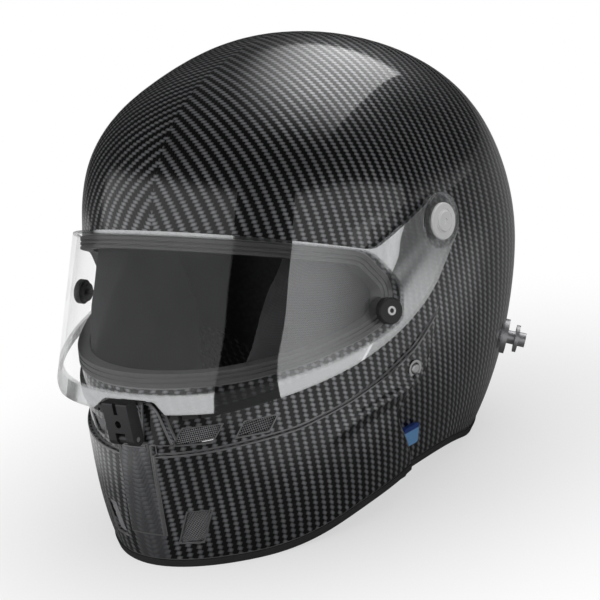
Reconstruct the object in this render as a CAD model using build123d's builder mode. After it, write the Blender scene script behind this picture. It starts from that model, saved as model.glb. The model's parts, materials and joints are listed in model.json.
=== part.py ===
from build123d import *
from functools import cache
from math import cos, radians, sin
import os

# Auto racing helmet, full face, with a hinged visor and a flip-down visor latch.
# Millimetres. +X is the wearer's left, the face looks along -Y, +Z is up.
# The helmet rests on its bottom rim, and the origin is the bottom centre of its box.

# Driving sizes of the shell
shell_half_width = 122.0
shell_wall = 3.5
keel_width = 27.0
keel_height = 2.0
keel_length = 54.0
keel_gap = 2.0
hump_width = 38.0
hump_foot_width = 56.0
hump_corner = 12.0
side_reach = 400.0
end_reach = 400.0
trim_height = 4.2
trim_overhang = 0.9
trim_thickness = 5.4

# Place of the line the forms are drawn about, from the bottom centre, and of the visor's
# hinge from it
pivot_forward = 8.0
pivot_height = 162.8
hinge_ahead = 5.5
hinge_below = 1.8

# Visor
visor_wall = 2.8
visor_gap = 1.2
visor_side_stand = 4.0
boss_radius = 17.0
boss_disc_radius = 15.8
boss_disc_rise = 0.5
boss_low_turn = 30.0
arch_rise = 6.5
arch_width = 40.0
arch_foot_width = 58.0
arch_corner = 7.0
visor_corner = 13.0

# Pivot hardware
bush_radius = 6.0
bush_play = 0.05
washer_radius = 10.9
washer_thickness = 1.6
washer_chamfer = 0.5
washer_ring_radius = 7.4
washer_ring_width = 0.7
washer_ring_depth = 0.5
washer_play = 0.25
screw_radius = 2.5
screw_head_radius = 6.0
screw_head_height = 1.2
screw_head_chamfer = 0.4
hex_across = 3.6
hex_depth = 1.1
insert_barrel_radius = 4.0
insert_flange_radius = 9.0
insert_flange_thickness = 1.6
insert_play = 0.05
screw_tail = 1.2

# Tear-off posts on the visor
post_radius = 7.8
post_height = 7.0
post_waist_radius = 5.8
post_waist_height = 2.6
post_round = 1.2
post_stem_radius = 2.0
post_ring_radius = 2.6
post_ring_hole = 1.4
post_ring_height = 0.5

# Visor latch
latch_width = 20.0
latch_depth = 8.0
latch_height = 27.0
latch_gap = 0.3
latch_pad_depth = 9.0
latch_pin_radius = 1.5
latch_pin_play = 0.05
latch_slot_width = 7.8
latch_slot_clearance = 0.5
spine_thickness = 2.4
spine_side_play = 0.3
spine_lug_radius = 2.9
latch_screw_radius = 1.5
latch_screw_head_radius = 2.7
latch_screw_head_height = 1.8
latch_screw_hex_depth = 0.9
latch_screw_length = 9.0
latch_window_radius = 2.3
latch_groove_width = 3.0
latch_groove_depth = 1.6
latch_groove_length = 7.0
latch_opening_depth = 16.0
latch_edge_round = 1.2

# Eyeport gasket
gasket_width = 7.6
gasket_inset = 7.0
gasket_stand = 1.1
gasket_corner = 18.0
gasket_rib = 2.5
gasket_groove_width = 1.0
gasket_groove_depth = 1.0
gasket_play = 0.1

# Rubber strip under the visor's lower edge
seal_drop = 4.4
seal_clear = 1.0
seal_stand = 2.6
seal_middle_gap = 54.0
seal_notch_pitch = 11.0
seal_notch_width = 2.2
seal_gap_height = 60.0

# Vents
vent_plate = 0.8
vent_sink = 2.2
vent_play = 0.1
vent_hole = 2.0
vent_rib = 1.1
vent_frame = 0.8
vent_cut_depth = 9.0

# Head-restraint anchor posts
anchor_base_radius = 11.0
anchor_base_thickness = 2.4
anchor_neck_radius = 4.2
anchor_neck_length = 5.0
anchor_disc_radius = 8.6
anchor_disc_thickness = 2.2
anchor_head_radius = 4.5
anchor_head_height = 4.6
anchor_hex_depth = 2.3
anchor_hex_across = 4.0
anchor_bolt_radius = 3.0
anchor_insert_barrel_radius = 5.0
anchor_insert_flange_radius = 9.5
anchor_insert_flange_thickness = 1.8

# Strap rivets and straps
rivet_radius = 3.6
rivet_dome = 1.9
rivet_dome_round = 1.7
rivet_ring_outer_radius = 5.2
rivet_ring_height = 0.8
rivet_stem_radius = 2.0
strap_width = 24.0
strap_thickness = 2.0
strap_inset = 1.4

# Padding
foam_gap = 0.3
foam_thickness = 26.0
chin_foam_thickness = 20.0
chin_foam_half_width = 52.0
lining_thickness = 9.0
brow_half_width = 62.0
foam_centre_half_width = 56.0
foam_split_behind = 18.0
crown_centre_half_width = 30.0
cheek_inner_x = 60.0
cheek_strap_play = 1.0
cheek_corner = 12.0

# Port plug at the rear of the left cheek pod
plug_height = 13.0
plug_length = 6.5
plug_stand = 3.4
plug_round = 1.5

cut_over = 12.0

# Profile of the shell in the centre plane, as seen from the wearer's left: for each
# angle above straight ahead, the distance from the pivot line as a share of the half
# width, and how square the cross section is there.
shell_rows_share = (
    (14, 0.955, 2.28), (25, 0.945, 2.30), (37, 0.930, 2.33), (57, 0.890, 2.30),
    (77, 0.858, 2.20), (102, 0.886, 2.13), (127, 0.945, 2.15), (155, 1.085, 2.18),
    (182, 1.250, 2.12), (202, 1.372, 2.08), (220, 1.462, 2.05), (235, 1.555, 2.05),
    (252, 1.660, 2.08), (270, 1.790, 2.05), (288, 1.940, 1.98), (302, 2.030, 1.90),
    (315, 1.900, 1.88), (323, 1.680, 1.88), (330, 1.535, 1.90), (335, 1.440, 1.94),
    (339, 1.365, 1.98), (348, 1.175, 2.05), (357, 1.055, 2.15), (5, 0.990, 2.22),
)

# The chin bar and its cheek pods stand out from the shell, and fade into it behind.
chin_rows_share = (
    (14, 0.880, 2.20), (37, 0.860, 2.20), (57, 0.820, 2.20), (77, 0.790, 2.15),
    (102, 0.810, 2.10), (127, 0.870, 2.10), (155, 0.990, 2.10), (182, 1.130, 2.05),
    (202, 1.230, 2.00), (220, 1.320, 2.00), (235, 1.400, 2.00), (252, 1.520, 2.02),
    (270, 1.720, 2.00), (284, 1.900, 2.09), (294, 2.030, 2.17), (302, 2.080, 2.11),
    (315, 1.935, 1.93), (323, 1.720, 1.92), (330, 1.560, 1.93), (335, 1.465, 1.95),
    (339, 1.390, 1.98), (348, 1.120, 2.05), (357, 0.980, 2.10), (5, 0.910, 2.15),
)

# The visor is a leaning cone: its centre line is straight, this share of the half width
# from the pivot line, and leans back by this angle.
visor_reach_share = 0.965
visor_lean = 26.2
visor_squareness = 2.3
visor_line_angles = (-36, -28, -20, -10, 2, 14, 26)
visor_back_rows_share = (
    (50, 0.965, 2.3), (80, 0.965, 2.3), (110, 0.965, 2.3), (150, 1.000, 2.3),
    (190, 1.150, 2.3), (230, 1.450, 2.3), (270, 1.900, 2.3), (300, 2.250, 2.3),
)

# Half angles at which the forms are sectioned across their width
section_turns = (0, 18, 36, 50, 63, 75, 84.3)

# Side outlines, (forward is negative, up is positive) as shares of the half width
rim_front_share = (-1.16, -1.300)
rim_mid_shares = ((-0.72, -1.222), (-0.30, -1.172), (0.12, -1.205))
rim_back_share = (0.56, -1.300)
eyeport_shares = (
    (-1.700, 0.560), (-0.967, 0.195), (-0.496, -0.017), (-0.392, -0.215),
    (-0.435, -0.372), (-0.600, -0.412), (-0.820, -0.444), (-1.080, -0.460),
    (-1.700, -0.460),
)
visor_top_shares = ((-1.700, 0.582), (-0.950, 0.213), (-0.480, -0.012))
visor_low_shares = (
    (-0.129, -0.262), (-0.327, -0.372), (-0.606, -0.452), (-0.870, -0.501), (-1.210, -0.557),
)
crease_shares = (
    (-1.340, -0.775), (-1.120, -0.752), (-0.946, -0.738), (-0.708, -0.686),
    (-0.503, -0.626), (-0.306, -0.552), (-0.130, -0.440),
)
pod_edge_shares = (
    (-0.255, -0.690), (-0.410, -0.766), (-0.467, -0.830), (-0.455, -0.907),
    (-0.398, -1.014), (-0.340, -1.120), (-0.300, -1.300),
)
foam_edge_shares = (
    (-1.700, 0.720), (-0.930, 0.275), (-0.520, 0.105), (-0.170, 0.060),
    (-0.170, -0.600), (0.200, -0.760), (0.560, -1.130), (1.700, -1.130),
)
cheek_shares = (
    (-1.060, -1.060), (-0.360, -1.090), (-0.220, -0.480), (-0.300, 0.010),
    (-0.560, 0.060), (-0.800, -0.140), (-1.050, -0.420),
)
brow_shares = ((-0.900, 0.240), (-0.580, 0.690), (-0.270, 0.325), (-0.410, 0.110))
crown_shares = ((-0.200, 0.270), (-0.740, 1.000), (1.500, 1.000), (1.500, 0.100), (0.200, 0.100))
nape_shares = ((0.420, -0.080), (1.700, -0.040), (1.700, -1.060), (0.560, -1.060))
chin_foam_shares = ((-1.700, -0.780), (-0.900, -0.780), (-0.900, -1.020), (-1.700, -1.020))

# Vents in the chin bar: name, across, up, width, height and slant, as shares of the half
# width
vent_shares = {
    "vent_mesh_upper_inner": (0.325, -0.690, 0.190, 0.075, 0.060),
    "vent_mesh_upper_outer": (0.560, -0.690, 0.150, 0.065, 0.050),
    "vent_mesh_lower": (0.265, -1.130, 0.120, 0.150, 0.070),
}

# Places on the shell seen from the side, as shares of the half width
tear_off_share = (-0.525, -0.295)
rivet_share = (-0.345, -0.655)
anchor_share = (0.750, -0.920)
plug_share = (-0.360, -1.005)
strap_end_up_share = -1.285

# Visor latch, from the pivot line as shares of the half width
latch_face_share = -1.349
latch_pin_up_share = -0.672
latch_screw_up_share = -0.590

# Planes through the pivot line: seen from the wearer's left, and seen from the front
pivot_point = Vector(0, pivot_forward, pivot_height)
hinge_point = pivot_point - Vector(0, hinge_ahead, hinge_below)
hinge_plane = Plane(origin=hinge_point, x_dir=(0, 1, 0), z_dir=(1, 0, 0))
side_plane = Plane(origin=pivot_point, x_dir=(0, 1, 0), z_dir=(1, 0, 0))
front_plane = Plane(origin=pivot_point, x_dir=(1, 0, 0), z_dir=(0, -1, 0))

latch_face = latch_face_share * shell_half_width
latch_pin_up = latch_pin_up_share * shell_half_width
latch_screw_up = latch_screw_up_share * shell_half_width
strap_end_up = strap_end_up_share * shell_half_width
visor_half_width = shell_half_width + visor_side_stand
visor_rows_share = visor_back_rows_share + tuple(
    (angle, visor_reach_share / cos(radians(angle - visor_lean)), visor_squareness)
    for angle in visor_line_angles
)


def sized(shares):
    """Points in the side or front view, from shares of the half width."""
    return [(across * shell_half_width, up * shell_half_width) for across, up in shares]


@cache
def rounded_form(rows, half_width, growth):
    """Smooth closed form about the pivot line, lofted through slices from side to side."""
    turns = [-turn for turn in reversed(section_turns[1:])] + list(section_turns)
    with BuildPart() as form:
        for turn in turns:
            across = sin(radians(turn))
            with BuildSketch(side_plane.offset(half_width * across)):
                with BuildLine():
                    points = []
                    for angle, share, square in rows:
                        reach = share * shell_half_width + growth
                        reach = reach * (1 - abs(across) ** square) ** (1 / square)
                        points.append((-reach * cos(radians(angle)), reach * sin(radians(angle))))
                    Spline(points, periodic=True)
                make_face()
        loft()
    return form.part


def shell_form(growth):
    """The shell's outer form, grown or shrunk all round."""
    return rounded_form(shell_rows_share, shell_half_width + growth, growth)


def visor_form(growth):
    """The visor's outer form, grown or shrunk all round."""
    return rounded_form(visor_rows_share, visor_half_width + growth, growth)


def slab(outline, half_depth=side_reach):
    """A closed side outline carried right through the helmet from side to side."""
    with BuildPart() as block:
        with BuildSketch(side_plane):
            with BuildLine():
                Polyline(outline, close=True)
            make_face()
        extrude(amount=half_depth, both=True)
    return block.part


def rim_slab(drop, depth):
    """Everything from the rim line, lowered by drop, down to depth below it."""
    front = sized([rim_front_share])[0]
    back = sized([rim_back_share])[0]
    middle = sized(rim_mid_shares)
    with BuildPart() as block:
        with BuildSketch(side_plane):
            with BuildLine():
                Line((-end_reach, front[1] - drop), (front[0], front[1] - drop))
                Spline(
                    [(y, z - drop) for y, z in [front, *middle, back]],
                    tangents=[(1, 0), (1, 0)],
                )
                Line((back[0], back[1] - drop), (end_reach, back[1] - drop))
                Line((end_reach, back[1] - drop), (end_reach, back[1] - drop - depth))
                Line((end_reach, back[1] - drop - depth), (back[0], back[1] - drop - depth))
                Spline(
                    [(y, z - drop - depth) for y, z in [back, *reversed(middle), front]],
                    tangents=[(-1, 0), (-1, 0)],
                )
                Line((front[0], front[1] - drop - depth), (-end_reach, front[1] - drop - depth))
                Line((-end_reach, front[1] - drop - depth), (-end_reach, front[1] - drop))
            make_face()
        extrude(amount=side_reach, both=True)
    return block.part


def eyeport_slab(inset):
    """The eyeport's side outline with rounded rear corners, made smaller by inset."""
    with BuildPart() as block:
        with BuildSketch(side_plane):
            with BuildLine():
                Polyline(sized(eyeport_shares), close=True)
            make_face()
            fillet(vertices().sort_by(Axis.X)[-3:], gasket_corner)
            if inset:
                offset(amount=-inset, mode=Mode.REPLACE)
        extrude(amount=side_reach, both=True)
    return block.part


def visor_outline():
    """The visor's side outline: cone band, arm and the round boss at the hinge."""
    top = sized(visor_top_shares)
    low = sized(visor_low_shares)
    boss = (-hinge_ahead, -hinge_below)
    boss_top = (boss[0], boss[1] + boss_radius)
    boss_low = (
        boss[0] + boss_radius * sin(radians(boss_low_turn)),
        boss[1] - boss_radius * cos(radians(boss_low_turn)),
    )
    with BuildSketch() as outline:
        with BuildLine():
            Polyline((-end_reach, low[-1][1]), (-end_reach, top[0][1]), *top, boss_top, boss_low, low[0])
            Spline(low)
            Line(low[-1], (-end_reach, low[-1][1]))
        make_face()
        fillet(vertices().sort_by_distance(top[-1])[0], visor_corner)
        with Locations(boss):
            Circle(boss_radius)
    return outline.sketch


def side_seat(form, share, sign=1):
    """Plane on a form's side at a place of the side view, facing out along its normal."""
    y, z = share[0] * shell_half_width, share[1] * shell_half_width
    line = Axis((0, pivot_forward + y, pivot_height + z), (1, 0, 0))
    hits = [hit for face in form.faces() for hit in face.find_intersection_points(line)]
    point, normal = max(hits, key=lambda hit: hit[0].X)
    if normal.X < 0:
        normal = -normal
    return Plane(
        origin=(sign * point.X, point.Y, point.Z), z_dir=(sign * normal.X, normal.Y, normal.Z)
    )


def front_seat(form, across, up):
    """Plane on a form's front at a place of the front view, facing forward and level."""
    line = Axis((across, pivot_forward, pivot_height + up), (0, -1, 0))
    hits = [hit for face in form.faces() for hit in face.find_intersection_points(line)]
    point, normal = min(hits, key=lambda hit: hit[0].Y)
    if normal.Y > 0:
        normal = -normal
    facing = Vector(normal.X, normal.Y, 0)
    return Plane(origin=point, x_dir=(-facing.Y, facing.X, 0), z_dir=facing)


def top_edges(piece, seat):
    """Edges of the face that stands furthest out from a seat."""
    return piece.faces().sort_by(Axis(seat.origin, seat.z_dir))[-1].edges()


def write(piece, name):
    """Label a finished piece and write its file."""
    piece.part.label = name
    export_step(piece.part, f"parts/{name}.step")


def write_pair(piece, name):
    """Write a left piece and its mirror image on the right."""
    write(piece, f"{name}_left")
    with BuildPart() as other:
        mirror(piece.part, about=Plane.YZ)
    write(other, f"{name}_right")


os.makedirs("parts", exist_ok=True)

outer_form = shell_form(0)
inner_form = shell_form(-shell_wall)
chin_form = rounded_form(chin_rows_share, shell_half_width, 0)
visor_outer_form = visor_form(0)
visor_inner_form = visor_form(-visor_wall)
below_rim = rim_slab(0, end_reach)

pad_x = shell_half_width * sin(radians(section_turns[-1]))
visor_face_x = visor_half_width * sin(radians(section_turns[-1]))
shell_inner_x = (shell_half_width - shell_wall) * sin(radians(section_turns[-1]))

# Chin bar: the raised form below the crease and ahead of the pod's rear edge
chin_outline = (
    [(-end_reach, crease_shares[0][1] * shell_half_width)]
    + sized(crease_shares)
    + sized(pod_edge_shares)
    + [(pod_edge_shares[-1][0] * shell_half_width, -end_reach), (-end_reach, -end_reach)]
)
with BuildPart() as chin_bar:
    add(chin_form)
    add(slab(chin_outline), mode=Mode.INTERSECT)
    add(inner_form, mode=Mode.SUBTRACT)
chin_proud_form = rounded_form(chin_rows_share, shell_half_width + keel_height, keel_height)
keel_top = latch_pin_up - latch_depth / 2 - keel_gap
with BuildPart() as keel:
    add(chin_proud_form)
    with BuildSketch(front_plane):
        with Locations((0, keel_top - keel_length / 2)):
            Rectangle(keel_width, keel_length)
    extrude(amount=end_reach, mode=Mode.INTERSECT)
    add(inner_form, mode=Mode.SUBTRACT)

# Hump that fills the visor's arch, with the flat pad that carries the latch
visor_edge = visor_low_shares[-1][1] * shell_half_width
arch_top = visor_edge + arch_rise
with BuildPart() as hump:
    add(chin_proud_form)
    with BuildSketch(front_plane):
        with BuildLine():
            Polyline(
                (-hump_foot_width / 2, keel_top), (-hump_width / 2, arch_top - visor_gap),
                (hump_width / 2, arch_top - visor_gap), (hump_foot_width / 2, keel_top),
                close=True,
            )
        make_face()
        fillet(vertices().group_by(Axis.Y)[-1], hump_corner)
    extrude(amount=end_reach, mode=Mode.INTERSECT)
    add(inner_form, mode=Mode.SUBTRACT)
with BuildPart() as latch_pad:
    with BuildSketch(front_plane.offset(-latch_face)):
        with Locations((0, (keel_top + arch_top - visor_gap) / 2)):
            RectangleRounded(latch_width, arch_top - visor_gap - keel_top, latch_edge_round)
    extrude(amount=-latch_pad_depth)

with BuildPart() as outer_shell:
    add(outer_form)
    add(inner_form, mode=Mode.SUBTRACT)
    add(chin_bar.part)
    add(keel.part)
    add(hump.part)
    add(latch_pad.part)
    with BuildSketch(front_plane.offset(-latch_face)):
        with Locations((0, (keel_top + arch_top) / 2)):
            Rectangle(latch_width + latch_gap, arch_top - keel_top)
    extrude(amount=end_reach, mode=Mode.SUBTRACT)
    add(below_rim, mode=Mode.SUBTRACT)
    add(eyeport_slab(0), mode=Mode.SUBTRACT)

# Seats on the finished shell, before its holes are cut
vent_seats = {
    name: front_seat(outer_shell.part, share[0] * shell_half_width, share[1] * shell_half_width)
    for name, share in vent_shares.items()
}
rivet_seat = side_seat(outer_shell.part, rivet_share)
anchor_seat = side_seat(outer_shell.part, anchor_share)
tear_off_seat = side_seat(visor_outer_form, tear_off_share)


def vent_outline(name, inset):
    """A vent's slanted outline, made smaller by inset."""
    width, height, slant = [share * shell_half_width for share in vent_shares[name][2:]]
    with BuildSketch() as outline:
        with BuildLine():
            Polyline(
                (-(width + slant) / 2, -height / 2), ((width - slant) / 2, -height / 2),
                ((width + slant) / 2, height / 2), (-(width - slant) / 2, height / 2), close=True,
            )
        make_face()
        if inset:
            offset(amount=-inset, kind=Kind.INTERSECTION, mode=Mode.REPLACE)
    return outline.sketch


def mirrored(seat):
    """The same seat on the helmet's other side."""
    return Plane(
        origin=(-seat.origin.X, seat.origin.Y, seat.origin.Z),
        z_dir=(-seat.z_dir.X, seat.z_dir.Y, seat.z_dir.Z),
    )


with BuildPart() as vent_cutters:
    for name, seat in vent_seats.items():
        with BuildSketch(seat):
            add(vent_outline(name, 0))
        extrude(amount=vent_cut_depth, both=True)
    mirror(about=Plane.YZ)
with BuildPart() as fixing_cutters:
    with BuildSketch(hinge_plane):
        Circle(insert_barrel_radius + insert_play)
    extrude(amount=side_reach, both=True)
    for seat in (rivet_seat, mirrored(rivet_seat)):
        with BuildSketch(seat):
            Circle(rivet_stem_radius + insert_play)
        extrude(amount=cut_over, both=True)
    for seat in (anchor_seat, mirrored(anchor_seat)):
        with BuildSketch(seat):
            Circle(anchor_insert_barrel_radius + insert_play)
        extrude(amount=cut_over, both=True)
    with BuildSketch(front_plane.offset(-latch_face)):
        with Locations((0, latch_screw_up)):
            Circle(latch_screw_radius + insert_play)
    extrude(amount=-cut_over)
with BuildPart() as outer_shell_cut:
    add(outer_shell.part)
    add(vent_cutters.part, mode=Mode.SUBTRACT)
    add(fixing_cutters.part, mode=Mode.SUBTRACT)
write(outer_shell_cut, "outer_shell")

# Wire mesh panels behind the vents
vent_pitch = vent_hole + vent_rib
for name, seat in vent_seats.items():
    width, height, slant = [share * shell_half_width for share in vent_shares[name][2:]]
    columns, rows = int((width + slant) / vent_pitch), int(height / vent_pitch) + 1
    with BuildSketch() as gaps:
        with GridLocations(vent_pitch, vent_pitch, columns, rows):
            Rectangle(vent_hole, vent_hole)
        add(vent_outline(name, vent_frame), mode=Mode.INTERSECT)
    with BuildPart() as panel:
        with BuildSketch(seat.offset(-vent_sink)):
            add(vent_outline(name, vent_play))
            add(gaps.sketch, mode=Mode.SUBTRACT)
        extrude(amount=-vent_plate)
    write_pair(panel, name)

# Rubber bead under the rim
with BuildPart() as trim_chin:
    add(rounded_form(chin_rows_share, shell_half_width + trim_overhang, trim_overhang))
    add(slab(chin_outline), mode=Mode.INTERSECT)
with BuildPart() as edge_trim:
    add(shell_form(trim_overhang))
    add(trim_chin.part)
    add(shell_form(trim_overhang - trim_thickness), mode=Mode.SUBTRACT)
    add(rim_slab(0, trim_height), mode=Mode.INTERSECT)
write(edge_trim, "edge_trim")

# Ridged rubber frame round the eyeport
with BuildPart() as gasket_ring:
    add(eyeport_slab(gasket_play))
    add(eyeport_slab(gasket_width), mode=Mode.SUBTRACT)
with BuildPart() as gasket_grooves:
    for turn in (1, 2):
        start = turn * gasket_rib
        add(eyeport_slab(start))
        add(eyeport_slab(start + gasket_groove_width), mode=Mode.SUBTRACT)
    add(shell_form(gasket_stand - gasket_groove_depth), mode=Mode.SUBTRACT)
with BuildPart() as eyeport_gasket:
    add(shell_form(gasket_stand))
    add(shell_form(-gasket_inset), mode=Mode.SUBTRACT)
    add(gasket_ring.part, mode=Mode.INTERSECT)
    add(gasket_grooves.part, mode=Mode.SUBTRACT)
write(eyeport_gasket, "eyeport_gasket")

# Notched rubber strip that the visor's lower edge closes against
seal_top = [(y, z - seal_clear) for y, z in sized(visor_low_shares[2:])]
seal_low = [(y, z - seal_drop) for y, z in reversed(seal_top)]
with BuildPart() as visor_seal:
    add(shell_form(seal_stand))
    add(shell_form(0), mode=Mode.SUBTRACT)
    with BuildSketch(side_plane):
        with BuildLine():
            Spline(seal_top)
            Line(seal_top[-1], (-end_reach, seal_top[-1][1]))
            Line((-end_reach, seal_top[-1][1]), (-end_reach, seal_low[0][1]))
            Line((-end_reach, seal_low[0][1]), seal_low[0])
            Spline(seal_low)
            Line(seal_low[-1], seal_top[0])
        make_face()
    extrude(amount=side_reach, both=True, mode=Mode.INTERSECT)
    notches = int(shell_half_width / seal_notch_pitch)
    with BuildSketch(front_plane):
        with Locations((0, seal_top[-1][1])):
            Rectangle(seal_middle_gap, seal_gap_height)
        for count in range(int(seal_middle_gap / 2 / seal_notch_pitch) + 1, notches - 1):
            with Locations(
                (count * seal_notch_pitch, seal_top[-1][1] - seal_drop),
                (-count * seal_notch_pitch, seal_top[-1][1] - seal_drop),
            ):
                Rectangle(seal_notch_width, seal_drop)
    extrude(amount=end_reach, mode=Mode.SUBTRACT)
write(visor_seal, "visor_seal")

# Visor
with BuildPart() as visor_sides:
    with BuildSketch(side_plane):
        add(visor_outline())
    extrude(amount=side_reach, both=True)
with BuildPart() as visor:
    add(visor_outer_form)
    add(visor_inner_form, mode=Mode.SUBTRACT)
    add(visor_sides.part, mode=Mode.INTERSECT)
    with BuildSketch(front_plane):
        with BuildLine():
            Polyline(
                (-arch_foot_width / 2, visor_edge - arch_rise), (-arch_foot_width / 2, visor_edge),
                (-arch_width / 2, arch_top), (arch_width / 2, arch_top),
                (arch_foot_width / 2, visor_edge), (arch_foot_width / 2, visor_edge - arch_rise),
                close=True,
            )
        make_face()
        fillet(vertices().group_by(Axis.Y)[-1], arch_corner)
    extrude(amount=end_reach, mode=Mode.SUBTRACT)
    for seat in (hinge_plane.offset(visor_face_x), mirrored(hinge_plane.offset(visor_face_x))):
        with BuildSketch(seat.offset(-visor_wall / 2)):
            Circle(boss_disc_radius)
        extrude(amount=visor_wall / 2 + boss_disc_rise)
    with BuildSketch(hinge_plane):
        Circle(bush_radius + bush_play)
    extrude(amount=side_reach, both=True, mode=Mode.SUBTRACT)
    for seat in (tear_off_seat, mirrored(tear_off_seat)):
        with BuildSketch(seat):
            Circle(post_stem_radius + bush_play)
        extrude(amount=cut_over, both=True, mode=Mode.SUBTRACT)
write(visor, "visor")

# Pivot hardware, on the left
washer_x = visor_face_x + boss_disc_rise + washer_play
with BuildPart() as bush:
    with BuildSketch(hinge_plane.offset(pad_x)):
        Circle(bush_radius)
        Circle(screw_radius + bush_play, mode=Mode.SUBTRACT)
    extrude(amount=washer_x - pad_x)
write_pair(bush, "pivot_bush")

with BuildPart() as washer:
    with BuildSketch(hinge_plane.offset(washer_x)):
        Circle(washer_radius)
        Circle(screw_radius + bush_play, mode=Mode.SUBTRACT)
    extrude(amount=washer_thickness)
    chamfer(washer.edges().group_by(Axis.X)[-1].sort_by(SortBy.LENGTH)[-1], washer_chamfer)
    with BuildSketch(hinge_plane.offset(washer_x + washer_thickness)):
        Circle(washer_ring_radius)
        Circle(washer_ring_radius - washer_ring_width, mode=Mode.SUBTRACT)
    extrude(amount=-washer_ring_depth, mode=Mode.SUBTRACT)
write_pair(washer, "pivot_washer")

with BuildPart() as pivot_screw:
    with BuildSketch(hinge_plane.offset(washer_x + washer_thickness)):
        Circle(screw_head_radius)
    extrude(amount=screw_head_height)
    chamfer(pivot_screw.edges().group_by(Axis.X)[-1], screw_head_chamfer)
    with BuildSketch(hinge_plane.offset(washer_x + washer_thickness + screw_head_height)):
        RegularPolygon(hex_across / 2, 6, major_radius=False)
    extrude(amount=-hex_depth, mode=Mode.SUBTRACT)
    with BuildSketch(hinge_plane.offset(shell_inner_x - insert_flange_thickness - screw_tail)):
        Circle(screw_radius)
    extrude(until=Until.NEXT)
write_pair(pivot_screw, "pivot_screw")

with BuildPart() as pivot_insert:
    with BuildSketch(hinge_plane.offset(shell_inner_x)):
        Circle(insert_barrel_radius)
    extrude(amount=pad_x - shell_inner_x)
    with BuildSketch(hinge_plane.offset(shell_inner_x)):
        Circle(insert_flange_radius)
    extrude(amount=-insert_flange_thickness)
    with BuildSketch(hinge_plane):
        Circle(screw_radius + insert_play)
    extrude(amount=side_reach, mode=Mode.SUBTRACT)
write_pair(pivot_insert, "pivot_insert")

# Tear-off posts on the visor's arms
with BuildPart() as post:
    with BuildSketch(tear_off_seat.offset(-visor_wall / 2)):
        Circle(post_waist_radius)
    extrude(amount=visor_wall / 2 + post_waist_height)
    with BuildSketch(tear_off_seat.offset(post_waist_height)):
        Circle(post_radius)
    extrude(amount=post_height - post_waist_height)
    fillet(top_edges(post, tear_off_seat), post_round)
    add(visor_outer_form, mode=Mode.SUBTRACT)
    with BuildSketch(tear_off_seat.offset(post_waist_height)):
        Circle(post_stem_radius)
    extrude(amount=-post_waist_height - visor_wall)
write_pair(post, "tear_off_post")
with BuildPart() as post_ring:
    with BuildSketch(tear_off_seat.offset(post_height)):
        Circle(post_ring_radius)
        Circle(post_ring_hole, mode=Mode.SUBTRACT)
    extrude(amount=post_ring_height)
write_pair(post_ring, "tear_off_ring")

# Latch: fixed spine, pin, screw and the flip-down lever
lever_back = latch_face - latch_gap
pin_forward = lever_back - latch_depth / 2
lever_top = latch_pin_up + latch_height - latch_depth / 2
spine_width = latch_slot_width - 2 * spine_side_play
spine_bottom = latch_pin_up - latch_depth / 2
spine_top = latch_screw_up + 2 * latch_screw_head_radius
with BuildPart() as latch_spine:
    with BuildSketch(side_plane):
        with Locations((latch_face - spine_thickness / 2, (spine_bottom + spine_top) / 2)):
            Rectangle(spine_thickness, spine_top - spine_bottom)
        with Locations(((pin_forward + latch_face) / 2, latch_pin_up)):
            Rectangle(latch_face - pin_forward, 2 * spine_lug_radius)
        with Locations((pin_forward, latch_pin_up)):
            Circle(spine_lug_radius)
            Circle(latch_pin_radius + latch_pin_play, mode=Mode.SUBTRACT)
    extrude(amount=spine_width / 2, both=True)
    with BuildSketch(front_plane):
        with Locations((0, latch_screw_up)):
            Circle(latch_screw_radius + insert_play)
    extrude(amount=end_reach, mode=Mode.SUBTRACT)
write(latch_spine, "latch_spine")

with BuildPart() as latch_lever:
    with BuildSketch(side_plane):
        with Locations((lever_back - latch_depth / 2, (latch_pin_up + lever_top) / 2)):
            Rectangle(latch_depth, lever_top - latch_pin_up)
        fillet(vertices().group_by(Axis.Y)[-1], latch_edge_round)
        with Locations((pin_forward, latch_pin_up)):
            Circle(latch_depth / 2)
    extrude(amount=latch_width / 2, both=True)
    with BuildSketch(side_plane):
        with Locations((pin_forward, latch_pin_up)):
            Circle(spine_lug_radius + latch_slot_clearance)
        cavity_front = latch_face - spine_thickness - latch_screw_head_height - latch_slot_clearance
        cavity_top = spine_top + latch_slot_clearance
        cavity_bottom = latch_pin_up - latch_depth
        with Locations(((cavity_front + latch_face) / 2, (cavity_top + cavity_bottom) / 2)):
            Rectangle(latch_face - cavity_front, cavity_top - cavity_bottom)
        open_top = latch_pin_up + latch_depth / 2 + latch_slot_clearance
        with Locations((pin_forward, (open_top + cavity_bottom) / 2)):
            Rectangle(latch_opening_depth, open_top - cavity_bottom)
    extrude(amount=latch_slot_width / 2, both=True, mode=Mode.SUBTRACT)
    with BuildSketch(side_plane):
        with Locations((pin_forward, latch_pin_up)):
            Circle(latch_pin_radius + latch_pin_play)
    extrude(amount=latch_width, both=True, mode=Mode.SUBTRACT)
    with BuildSketch(front_plane):
        with Locations((0, latch_screw_up)):
            Circle(latch_window_radius)
    extrude(amount=end_reach, mode=Mode.SUBTRACT)
    with BuildSketch(front_plane.offset(latch_depth - lever_back - latch_groove_depth)):
        with Locations((0, lever_top - latch_groove_length / 2)):
            Rectangle(latch_groove_width, latch_groove_length)
    extrude(amount=end_reach, mode=Mode.SUBTRACT)
write(latch_lever, "latch_lever")

with BuildPart() as latch_pin:
    with BuildSketch(side_plane):
        with Locations((pin_forward, latch_pin_up)):
            Circle(latch_pin_radius)
    extrude(amount=latch_width / 2 - latch_gap, both=True)
write(latch_pin, "latch_pin")

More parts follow.
